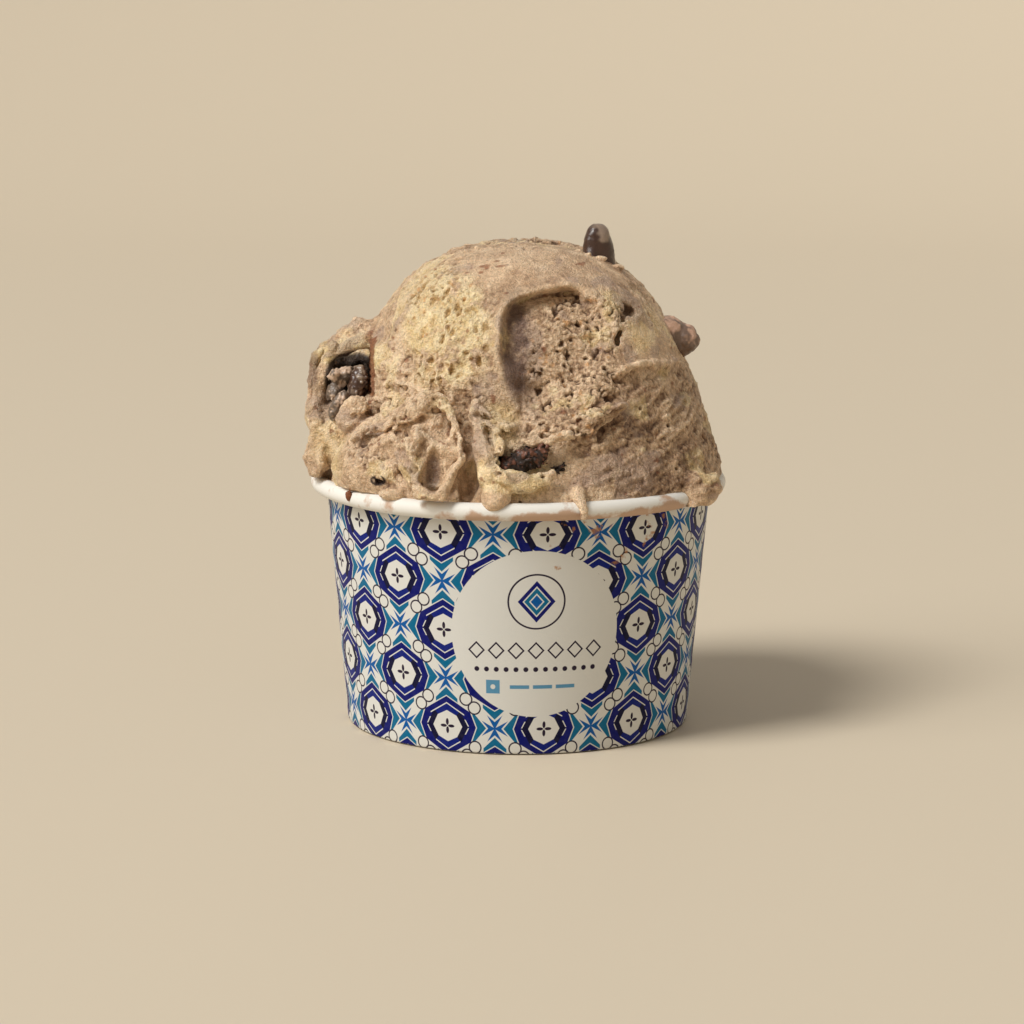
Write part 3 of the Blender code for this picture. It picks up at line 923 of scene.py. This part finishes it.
def press_recess(field):
    """The thumbed hollow: a step down at its top and left, with a raised lip, easing out below."""
    cuts, (x, y, z) = field.window((-12, -44, 70), (30, -8, 108))
    wave = 0.030 * np.sin(x * 0.34 + z * 0.25) + 0.014 * np.sin(z * 0.75 + 1)
    across, up = (x - 8.2) / 12.6, (z - 89.4) / 12.7
    size = (np.abs(across) ** 2.5 + np.abs(up) ** 2.5) ** (1 / 2.5) + wave
    ease = np.clip(0.6 * (across - 0.2), 0, 0.5) + np.clip(-0.7 * (up + 0.1), 0, 0.7)
    depth = 3.1 * ramp((1 - size) / (0.15 + ease), 0, 1)
    crest = np.exp(-((size - 1.05) / 0.07) ** 2) * np.clip(1 - 2.5 * ease, 0, 1)
    front = ramp(y, -8, -12)
    field.values[cuts] += ((depth - 1.0 * crest) * front).astype(np.float32)


def add_recess(field):
    """The hollow, the dip at its foot and the small cavity at its upper right corner."""
    press_recess(field)
    field.carve(lump((5.0, -38.6, 83.0), (7.4, 9.0, 8.6), (-8, 0, 6)), 1.6, 0.9)
    field.carve(lump((24.0, -17.2, 96.4), (2.2, 3.4, 1.4), (0, 20, 40)), 0.5, 0.5)
    field.carve(strand([
        (22.8, -19.4, 95.6, 0.7), (21.8, -22.4, 92.4, 0.8), (21.6, -24.4, 89.4, 0.5)]), 0.6, 0.6)


def add_right_folds(field):
    """The smear's edge, the nodules below the hollow and the flank's flaky steps."""
    field.join(strand([
        (20.2, -29.6, 84.2, 0.5), (24.0, -27.6, 84.6, 0.9), (28.4, -24.6, 84.8, 1.0),
        (33.0, -18.4, 84.6, 0.8), (35.6, -11, 84.4, 0.4)]), 1.0, 0.8)
    field.carve(strand([
        (21.4, -30.4, 82.2, 0.5), (28.2, -26.0, 82.6, 0.8), (33.6, -19.2, 82.4, 0.5)]), 1.2, 0.8)
    field.join(lump((13.4, -37.0, 71.8), (2.6, 2.6, 2.4)), 0.7, 1.2)
    field.join(lump((16.6, -35.8, 74.2), (3.0, 2.6, 2.0), (0, -20, 0)), 0.7, 1.2)
    field.join(lump((20.6, -33.6, 76.2), (3.2, 2.4, 1.6), (0, -24, 0)), 0.8, 1.2)
    field.carve(lump((17.8, -37.8, 71.9), (2.8, 2.6, 1.2), (0, -20, 0)), 0.7, 1.0)
    rng = np.random.default_rng(SEED + 1)
    for _ in range(FLANK_STEPS):
        around = math.radians(rng.uniform(18, 78))
        height = rng.uniform(60, 82)
        reach = 44.5 - 0.0105 * (height - 52) ** 2
        half = math.radians(rng.uniform(4, 10))
        rise = rng.uniform(1.0, 3.0)
        size = rng.uniform(0.5, 1.1)
        rows = [(reach * math.sin(around + half * side) * 0.98 + 0.6,
                 -reach * math.cos(around + half * side) * 0.97, height + rise * side, size * thick)
                for side, thick in ((-1, 0.3), (0, 1.0), (1, 0.3))]
        field.join(strand(rows), 0.9, 0.9)


def add_top_flakes(field):
    """Torn flakes on the crown and round the foot of the chocolate."""
    for spot, size in (((12.6, -2.4, 107.4), 1.3), ((15.2, -3.4, 106.6), 1.1), ((18.0, -3.4, 105.6), 1.3),
                       ((21.4, -2.6, 104.2), 1.4), ((10.4, -1.6, 108.0), 0.9), ((-8.6, -3.0, 109.2), 1.0),
                       ((-6.2, -2.4, 109.6), 0.7), ((-11.4, -3.2, 108.2), 0.9)):
        field.join(lump(spot, (size * 1.5, size, size * 0.62), (0, -spot[0], 0)), 0.4, 1.0)


def add_back_folds(field):
    """Paddle strokes that wind round the back, and two scooped hollows."""
    sinks = (0.9, 0.985, 1.0, 1.0, 0.985, 0.9)
    sizes = (0.8, 1.8, 2.2, 2.2, 1.8, 0.8)
    for turn in range(4):
        reach = 40.5 - 1.3 * turn - 0.42 * turn * turn
        rows = []
        for step, (sink, size) in enumerate(zip(sinks, sizes)):
            angle = math.radians(32 + 22 * step + 4 * turn)
            across = reach * sink
            rows.append((3 + across * math.cos(angle), 2 + across * math.sin(angle),
                         63 + 9.5 * turn + 2 * step, size))
        field.join(strand(rows), 1.6, 1.0)
    field.carve(lump((-14, 41.5, 94), (20, 11, 10), (28, 0, 24)), 2.0, 1.0)
    field.carve(lump((30, 37.5, 84), (17, 10, 9), (20, 0, -40)), 2.0, 1.0)


def confine(field):
    """Keep the gelato inside the cup up to the roll's crest."""
    x, y, z = np.meshgrid(*field.axes, indexing="ij", sparse=True)
    rise = np.clip(z - ROLL_Z, 0, ROLL_RADIUS - 0.1)
    limit = ROLL_R + 0.3 - np.sqrt(ROLL_RADIUS ** 2 - rise ** 2)
    limit = np.where(z < ROLL_Z, SHOULDER_RADIUS - PAPER + 0.2 + WALL_SLOPE * (z - ROLL_Z), limit)
    limit = limit + np.where(z > CUP_HEIGHT - 0.3, (z - CUP_HEIGHT + 0.3) * 4, 0)
    np.maximum(field.values, np.hypot(x, y) - limit, out=field.values)


def add_spills(field):
    """What has crept over the rim: the drop, the smear at the right and thin runs."""
    field.join(lump((-5.3, -45.6, 58.3), (3.3, 2.9, 3.3)), 0.6, 0.5)
    field.join(lump((40.2, -24.4, 57.6), (5.6, 4.4, 3.6), (0, 0, 30)), 1.0, 1.2)
    field.join(strand([
        (42.4, -21.4, 57.6, 1.6), (40.6, -25.6, 55.6, 1.2), (38.2, -28.6, 54.8, 0.7)]), 0.8, 0.8)
    field.join(strand([
        (12.6, -42.8, 59.4, 1.4), (13.0, -45.0, 57.8, 0.9), (13.8, -46.3, 56.4, 0.7),
        (14.0, -46.7, 55.0, 0.6)]), 0.8, 0.4)
    field.join(lump((-27.6, -36.4, 58.0), (2.4, 1.9, 1.0)), 0.8, 0.6)
    field.join(lump(RED_DROP, (0.9, 0.9, 1.3)), 0.3)


def shape_gelato(field):
    """All the gelato's forms larger than its pores."""
    add_bodies(field)
    add_back_folds(field)
    add_right_folds(field)
    add_recess(field)
    add_top_flakes(field)
    add_lobe_folds(field)
    add_front_ridges(field)
    add_front_curl(field)
    add_front_ledge(field)
    confine(field)
    add_spills(field)


def patch(points, centre, radii, soft=0.35, wobble=0.25, seed=90):
    """How far points (n, 3) lie in a patch of the shown side, from 0 to 1."""
    size = np.hypot((points[:, 0] - centre[0]) / radii[0], (points[:, 2] - centre[1]) / radii[1])
    size = size + wobble * lattice(points, 5.0, seed)
    return ramp(size, 1 + soft / 2, 1 - soft / 2) * ramp(points[:, 1], 6, -4)


def winding(points):
    """The angle of points round the gelato's axis, 0 at the front."""
    return np.arctan2(points[:, 0] - AXIS_X, AXIS_Y - points[:, 1])


def zones(points):
    """The kinds of surface that the gelato has, each from 0 to 1 at points."""
    back = ramp(np.abs(np.degrees(winding(points))), 88, 112)
    drift = cloud(points, 16.0, 210)
    cream = patch(points, (-16.5, 93), (9.5, 12.5), 0.5)
    hollow = patch(points, (13.0, 88.5), (11.5, 11.5), 0.3, 0.2, 91)
    hollow = np.maximum(hollow, 0.9 * patch(points, (11, 77), (9, 7), 0.5, 0.3, 92))
    flank = patch(points, (31, 68), (18, 14), 0.4, 0.2, 93)
    smooth = np.maximum.reduce([
        patch(points, (-10, 62), (3.5, 6), 0.4, 0.2, 94), patch(points, (-5.3, 58.3), (4, 4), 0.3, 0.1),
        patch(points, (9, 105), (22, 4.5), 0.5, 0.2, 96), patch(points, (28, 88.5), (7, 4.5), 0.5, 0.3, 97),
        0.6 * patch(points, (-16, 64), (5, 7), 0.4, 0.2, 98)])
    rough = np.maximum(patch(points, (-20, 70), (22, 9), 0.5, 0.4, 99),
                       patch(points, (-22, 81), (13, 7), 0.5, 0.4, 100))
    return {
        "cream": np.maximum(cream, back * ramp(drift, 0.35, 0.75)),
        "hollow": np.maximum(hollow, back * ramp(-drift, 0.35, 0.8)),
        "flank": np.maximum(flank, 0.8 * back),
        "smooth": smooth,
        "rough": np.maximum(rough * (1 - smooth), 0.5 * back),
    }


def ridges(points, size, seed):
    """Noise with sharp crests, from -1 to 1."""
    return 1 - np.abs(lattice(points, size, seed)) * 2


def roughen(field):
    """Folds and steps of a few millimetres, as offsets to the distances near the surface."""
    flat, points = field.near(1.8)
    zone = zones(points)
    bent = bend(points, 1.6, 5.0, 20)
    flaky = ridges(bent * (1, 1, 1.25), 6.0, 11) + 0.55 * ridges(bent, 2.8, 12)
    offset = 0.5 * lattice(points, 9.0, 13)
    calm = 1 - 0.8 * zone["smooth"]
    offset -= (0.30 + 0.65 * zone["rough"] + 0.25 * zone["hollow"]) * calm * (flaky - 0.5)
    around = winding(points) * AXIS_REACH
    lean = math.radians(22)
    along = around * math.cos(lean) + points[:, 2] * math.sin(lean)
    across = points[:, 2] * math.cos(lean) - around * math.sin(lean)
    depth = np.hypot(points[:, 0] - AXIS_X, points[:, 1] - AXIS_Y)
    scrape = np.stack([along / 6, across / 1.7, depth / 4], 1)
    offset -= 0.38 * (zone["flank"] + 0.1) * (ridges(scrape, 1.0, 15) - 0.4)
    field.values.ravel()[flat] += offset.astype(np.float32)


def normals_of(points, faces):
    """Unit normals at points."""
    a, b = points[faces[:, 2]] - points[faces[:, 0]], points[faces[:, 3]] - points[faces[:, 1]]
    across = np.cross(a, b)
    total = np.stack([sum(np.bincount(faces[:, corner], across[:, n], len(points))
                          for corner in range(4)) for n in range(3)], 1)
    return total / np.maximum(np.linalg.norm(total, axis=1, keepdims=True), 1e-9)


def texture(points):
    """Crumbs, pores and scrapes in millimetres outward, how deep in a pore points lie, and zones."""
    zone = zones(points)
    above = ramp(points[:, 2], 56, 58.5)
    calm = (1 - 0.75 * zone["smooth"]) * (0.3 + 0.7 * above)
    calm = calm * (1 - 0.7 * patch(points, (-2.6, 92), (3.2, 10), 0.4, 0.1, 111))
    bent = bend(points, 0.5, 1.1, 30)
    curd, _ = cells(bent, 1.3, 21)
    fine, _ = cells(bent, 0.75, 22)
    amount = 0.26 + 0.46 * zone["hollow"] + 0.24 * zone["cream"] + 0.20 * zone["rough"]
    height = amount * (0.52 - curd)
    height += (0.26 + 0.10 * zone["hollow"] + 0.06 * zone["flank"]) * (0.52 - fine)
    height += 0.16 * lattice(points, 1.5, 23) + 0.24 * zone["rough"] * lattice(points, 2.4, 24)
    around = winding(points) * AXIS_REACH
    x, y, z = points.T
    lean, rise = 0.93, 0.37
    scrape = np.stack([around * lean + z * rise, z * lean - around * rise, np.hypot(x, y)], 1)
    height += 0.26 * zone["flank"] * lattice(scrape, (3.2, 0.8, 2.0), 25)
    height *= calm
    tall, pick = cells(bent, (1.7, 1.7, 3.4), 26)
    here = ramp(lattice(points, 4.0, 27), -0.35, 0.1)
    pore = ramp(tall, 0.58, 0.26) * (pick < 0.7) * zone["cream"] * here
    crack = ramp(curd, 0.55, 0.80) * ramp(lattice(points, 2.1, 29), 0.05, 0.45)
    loose = np.maximum(zone["hollow"] * calm, 0.35 * zone["rough"] + 0.2 * zone["flank"])
    pore = np.maximum(pore, crack * loose * above)
    gap, pick = cells(bent, 2.2, 28)
    pore = np.maximum(pore, ramp(gap, 0.34, 0.12) * (pick < 0.22 * zone["hollow"] + 0.05 * calm * above))
    height -= 0.85 * pore
    return height, pore, zone


def blend_stops(level, stops):
    """Colours at levels from 0 to 1 along evenly spaced stops."""
    spot = np.clip(level, 0, 1) * (len(stops) - 1)
    low = np.clip(spot.astype(int), 0, len(stops) - 2)
    part = (spot - low)[:, None]
    stops = np.array(stops)
    return stops[low] * (1 - part) + stops[low + 1] * part


def cover(colour, other, amount):
    """Colours (n, 3) covered by another colour, by amounts (n) from 0 to 1."""
    amount = amount[:, None]
    return colour * (1 - amount) + other * amount


def colour_marbling(points, zone, relief, fold, noise):
    """Brown to pale by noise and by how far points stand out: painted highlight on raised points, painted
    shade in crevices, in folds and on the flank; with yellow and lilac swirls, and lilac painted shade on
    the hollow's wall.
    """
    bent, mottle = noise["bent"], noise["mottle"]
    level = 0.64 + 0.20 * noise["swirl"] + 0.18 * mottle + 0.10 * noise["fine"]
    # Lighter in the cream and a little darker in the hollow; the flank, and the back with it, painted
    # darker as painted shade on the side away from the light
    level += 0.12 * zone["cream"] - 0.02 * zone["hollow"] - 0.23 * zone["flank"]
    # Raised grains painted lighter and crevices and folds painted darker: painted highlight and painted
    # shade
    level += 2.0 * np.clip(relief, -0.3, 0.2) + 0.26 * np.clip(fold, -1.6, 0.8)
    colour = blend_stops(level, [PIT, MILK_DARK, MILK, BEIGE, PALE])
    vein = ramp(cloud(bent, 7.0, 62, 3), 0.35, 0.65) * (1 - zone["smooth"])
    yellow = [0.9 * zone["cream"] * ramp(mottle + 0.5 * noise["swirl"], -0.9, 0.1), 0.6 * vein]
    for share, centre, radii, soft, wobble, seed in (
            (0.75, (-1.5, 63.4), (8.5, 3.6), 0.6, 0.4, 101), (0.55, (-5, 73), (4, 5), 0.8, 0.4, 102),
            (0.55, (28, 92), (3.6, 4), 0.8, 0.4, 103), (0.95, (-39, 85.5), (8.5, 4), 0.5, 0.3, 104),
            (0.5, (-43, 66), (5, 6), 0.8, 0.4, 105)):
        yellow.append(share * patch(points, centre, radii, soft, wobble, seed))
    # Yellows painted lighter where points stand out, a painted highlight, and by mottled tone
    light = ramp(mottle + 4 * relief, -0.5, 0.5)[:, None]
    yellows = CREAM * (1 - light) + CREAM_LIGHT * light
    colour = cover(colour, yellows, np.maximum.reduce(yellow))
    lilac = ramp(cloud(bent, 8.0, 66, 3), 0.3, 0.7) * (1 - zone["cream"])
    # Lilac on the hollow's left wall, which faces away from the light, is painted shade
    lilac = np.maximum(lilac, patch(points, (1.5, 87), (3.6, 12), 0.6, 0.4, 106))
    return cover(colour, LILAC, 0.6 * lilac)


def colour_holes(colour, points, pore, zone, relief):
    """Painted shade in pores and hollows, golden in the cream, and painted shadow, nearly black, in the
    cavity under the flap at the left.
    """
    # Pores and crevices painted darker: painted shade
    depth = np.clip(0.8 * pore + 0.75 * ramp(-relief, 0.08, 0.34), 0, 0.88)
    inside = PIT * 1.2 + np.outer(zone["cream"], (0.34, 0.21, 0.06))
    # The cavity under the arching flap is painted nearly black: painted shadow
    hole = np.linalg.norm((points - (-37.4, -6.6, 79.4)) / (6.2, 10.0, 6.0), axis=1)
    hole = ramp(hole, 1.12, 0.98) * ramp(points[:, 1], -12, -9)
    return cover(cover(colour, inside, depth), COCOA_AND_SHADE, 0.96 * hole)


def colour_flecks(colour, points, zone, fine):
    """Red-brown flecks and streaks at the upper left, amber crumbs and the drop on the rim."""
    x, y, z = points.T
    fleck = ramp(lattice(points, 1.9, 81) + 0.5 * lattice(points, 0.9, 82), 0.85, 1.05)
    line = np.abs(x + 33.4 - 0.44 * (z - 90)) + 0.6 * np.abs(fine)
    streak = ramp(line, 1.2, 0.5) * ramp(z, 86, 90) * ramp(z, 101, 98)
    fleck = np.maximum(fleck, streak * ramp(y, -18, -12) * ramp(y, 6, 0))
    seam = np.linalg.norm((points - (-33.0, -9, 83)) / (1.1, 9, 10.5), axis=1)
    fleck = np.maximum(fleck, 1.15 * ramp(seam + 0.5 * lattice(points, 1.1, 83), 1.0, 0.75))
    edge = patch(points, (-6, 105), (4, 1.8), 0.5, 0.5, 107) * ramp(lattice(points, 1.2, 84), 0.1, 0.5)
    colour = cover(colour, RED_BROWN, 0.75 * np.maximum(fleck, edge))
    crumb = ramp(lattice(points, 1.5, 113) + 0.5 * fine, 0.62, 0.85)
    crumb = crumb * (0.15 + 0.5 * np.maximum(zone["hollow"], zone["cream"]))
    colour = cover(colour, AMBER, crumb)
    return cover(colour, RED_BROWN, ramp(np.linalg.norm(points - RED_DROP, axis=1), 2.2, 1.4))


def colour_shades(colour, points, noise):
    """Mauve painted shade on the hollow's wall and in the curl's hollow, a mauve strip at the left edge,
    and the small dark chunk.
    """
    x, _, z = points.T
    # The hollow's left wall faces away from the light: painted shade
    wall = patch(points, (-0.8, 88.0), (3.2, 12.5), 0.6, 0.35, 108)
    wall = wall * ramp(noise["swirl"] + noise["mottle"], -0.9, 0.4)
    # The patch at the curl sits in its carved hollow: painted shade there too
    dark = np.maximum.reduce([
        0.6 * ramp(x, -45.0, -45.8) * ramp(z, 75, 79) * ramp(z, 87, 84),
        0.85 * wall, 0.7 * patch(points, (-18.5, 63.6), (1.7, 3.8), 0.4, 0.2, 110)])
    chunk = patch(points, (-30.6, 60.6), (1.7, 1.2), 0.2, 0.1, 109)
    chunk = chunk * ramp(noise["fine"] + lattice(points, 1.4, 112), -0.5, -0.1)
    return cover(cover(colour, MAUVE, dark), COCOA_AND_SHADE, chunk)


def colour_gelato(points, pore, zone, relief, fold):
    """Colour and wetness at points: relief and fold tell how far they stand out close by, for the painted
    highlight and shade.
    """
    bent = bend(points, 2.6, 6.0, 40)
    noise = {"bent": bent, "swirl": cloud(bent * (1, 1, 1.5), 11.0, 50, 4),
             "mottle": cloud(points, 2.4, 70, 3), "fine": lattice(points, 0.75, 75)}
    colour = colour_marbling(points, zone, relief, fold, noise)
    colour = colour_holes(colour, points, pore, zone, relief)
    colour = colour_flecks(colour, points, zone, noise["fine"])
    colour = colour_shades(colour, points, noise)
    wet = 0.35 * ramp(cloud(points, 5.0, 85), 0.0, 0.8) + 0.4 * zone["smooth"]
    return colour, np.clip(wet, 0, 1)


def gelato_material():
    """Moist gelato: painted marbling with painted highlight and shade, fine grain and a little light under
    the skin.
    """
    made, tree, shader = new_material(
        "gelato_marbled", Subsurface_Weight=0.08, Subsurface_Scale=0.0006, Coat_Weight=0.12,
        Coat_Roughness=0.28, IOR=1.42)
    shader.inputs["Subsurface Radius"].default_value = (1.0, 0.62, 0.36)
    wet = Sums(tree, painted(tree, "wet").outputs["Fac"])
    grain = Sums(tree, noise_node(tree, 2600, 2.0, 0.6))
    speck = Sums(tree, noise_node(tree, 1300, 3.0, 0.7))
    shade_tint(tree, shader, (grain - 0.5) * 0.6 + (speck - 0.5) * 0.9 + 1.0)
    rough = wet * -0.25 + 0.58 + (speck - 0.5) * 0.5
    tree.links.new(rough.socket, shader.inputs["Roughness"])
    damp = wet * -0.7 + 1.0
    add_bump(tree, shader, (grain * 0.5 + speck) * damp, 1.0, 0.0008)
    return made


def close_inside(piece, centre, normals):
    """Close a skin's open edge with a fan to a point inside the food."""
    bm = bmesh.new()
    bm.from_mesh(piece.data)
    edges = [edge for edge in bm.edges if edge.is_boundary]
    middle = bm.verts.new(Vector(centre) * MM)
    for edge in edges:
        loop = edge.link_loops[0]
        bm.faces.new((loop.link_loop_next.vert, loop.vert, middle))
    bm.to_mesh(piece.data)
    bm.free()
    piece.data.normals_split_custom_set_from_vertices(
        np.vstack([normals, (0, 0, -1)]).astype(np.float32))


def split_skin(name, points, faces, normals, keep, colours, material, centre):
    """Make a piece of the skin from the faces kept."""
    faces = faces[keep]
    used = np.unique(faces)
    number = np.zeros(len(points), np.int64)
    number[used] = np.arange(len(used))
    piece = mesh_object(name, points[used], number[faces])
    colour, wet = colours
    paint(piece, "tint", colour[used])
    paint(piece, "wet", np.tile(wet[used, None], (1, 3)))
    close_inside(piece, centre, normals[used])
    settle(piece, material, "gelato", "gelato")


def build_skin(near, far, step, material, pieces):
    """Work out one range of the gelato and split it into pieces at values of x."""
    edge = RIM_RADIUS + GRID_MARGIN
    field = Field(np.arange(-edge, edge, step), np.arange(near, far, step),
                  np.arange(GRID_FLOOR, CAD_BOX[1][2] / MM + 1.0, step))
    shape_gelato(field)
    roughen(field)
    points, faces = field.skin()
    points = relax(points, faces, 1, 0.4)
    normals = normals_of(points, faces)
    height, pore, zone = texture(points)
    points = points + normals * height[:, None]
    normals = normals_of(points, faces)
    # How far points stand out, used for the painted highlight and shade
    eased = relax(points, faces, 8)
    relief = ((points - eased) * normals).sum(1)
    fold = ((eased - relax(eased, faces, 30)) * normals).sum(1)
    colours = colour_gelato(points, pore, zone, relief, fold)
    middle = points[faces].mean(1)[:, 0]
    for name, low, high in pieces:
        keep = (middle >= low) & (middle < high)
        centre = ((max(low, -30) + min(high, 30)) / 2, (max(near, -20) + min(far, 30)) / 2,
                  CUP_HEIGHT - 6)
        split_skin(name, points, faces, normals, keep, colours, material, centre)


def build_gelato():
    """The gelato's front in fine pieces and its back in one coarser piece."""
    edge = RIM_RADIUS + GRID_MARGIN
    material = gelato_material()
    build_skin(-edge, PARTING + OVERLAP, STEP, material,
               [("gelato_front_left", -edge, PART_X), ("gelato_front_right", PART_X, edge)])
    build_skin(PARTING, edge, BACK_STEP, material, [("gelato_back", -edge, edge)])


def remove_defaults():
    """Remove what a new file holds."""
    for name in ("Cube", "Light", "Camera"):
        if name in bpy.data.objects:
            bpy.data.objects.remove(bpy.data.objects[name])


# ---------------------------------------------------------------------------- studio

# The camera's lens and place in millimetres, how far it looks down and how far it leans
LENS = 116.5
CAMERA_PLACE = (0, -750, 177)
CAMERA_DIP = 9.78
CAMERA_ROLL = 0.24

# The floor's flat part and its curve in metres, and the strengths of the lights
FLOOR_RADIUS = 1.2
FLOOR_CURVE = 0.9
FLOOR_COLOUR = (0.640, 0.550, 0.422, 1)
SKY_POWER = 0.32
GLOW_POWER = 9.0
SUN_POWER = 2.25


def build_camera():
    """A long lens in front of the cup, a little above it."""
    data = bpy.data.cameras.new("camera")
    data.lens = LENS
    data.sensor_width = 36
    data.shift_x = -0.006
    data.clip_end = 20
    camera = link_object("camera", data)
    pitch = Euler((math.radians(90 - CAMERA_DIP), 0, 0)).to_matrix().to_4x4()
    roll = Matrix.Rotation(math.radians(CAMERA_ROLL), 4, "Z")
    camera.matrix_world = Matrix.Translation(Vector(CAMERA_PLACE) * MM) @ pitch @ roll
    bpy.context.scene.camera = camera


def build_floor():
    """A plain pale floor that curves up all round."""
    profile = [(0.0, 0.0), (FLOOR_RADIUS, 0.0)]
    profile += [(FLOOR_RADIUS + FLOOR_CURVE * math.sin(a), FLOOR_CURVE - FLOOR_CURVE * math.cos(a))
                for a in np.radians(np.arange(6, 91, 6))]
    bm = bmesh.new()
    verts = [bm.verts.new((r, 0, h)) for r, h in profile]
    edges = [bm.edges.new(pair) for pair in zip(verts, verts[1:])]
    bmesh.ops.spin(bm, geom=verts + edges, cent=(0, 0, 0), axis=(0, 0, 1), angle=math.tau,
                   steps=96)
    bmesh.ops.remove_doubles(bm, verts=bm.verts, dist=0.0001)
    bmesh.ops.recalc_face_normals(bm, faces=bm.faces)
    mesh = bpy.data.meshes.new("studio_floor")
    bm.to_mesh(mesh)
    bm.free()
    for face in mesh.polygons:
        face.use_smooth = True
    floor = link_object("studio_floor", mesh)
    made, _, shader = new_material("studio_floor", 0.6)
    shader.inputs["Base Color"].default_value = FLOOR_COLOUR
    mesh.materials.append(made)


def build_lights():
    """An even sky, a soft square light at the left and a soft sun."""
    world = bpy.data.worlds.new("studio")
    world.use_nodes = True
    world.node_tree.nodes["Background"].inputs[0].default_value = (1.0, 0.985, 0.96, 1)
    world.node_tree.nodes["Background"].inputs[1].default_value = SKY_POWER
    bpy.context.scene.world = world
    glow = bpy.data.lights.new("glow", "AREA")
    glow.size = 0.8
    glow.energy = GLOW_POWER
    place, aim = Vector((-1.3, -0.7, 1.0)), Vector((0, 0, 0.05))
    lamp = link_object("glow", glow)
    lamp.location = place
    sun = bpy.data.lights.new("key", "SUN")
    sun.energy = SUN_POWER
    sun.angle = math.radians(20)
    key = link_object("key", sun)
    for light, way in ((lamp, aim - place), (key, Vector((0.60, 0.42, -0.90)))):
        light.data.color = (1.0, 0.985, 0.95)
        light.rotation_euler = way.to_track_quat("-Z", "Y").to_euler()


remove_defaults()
build_camera()
build_floor()
build_lights()
build_cup()
dress_base()
build_pieces()
build_gelato()
bpy.context.scene.view_settings.view_transform = "Standard"
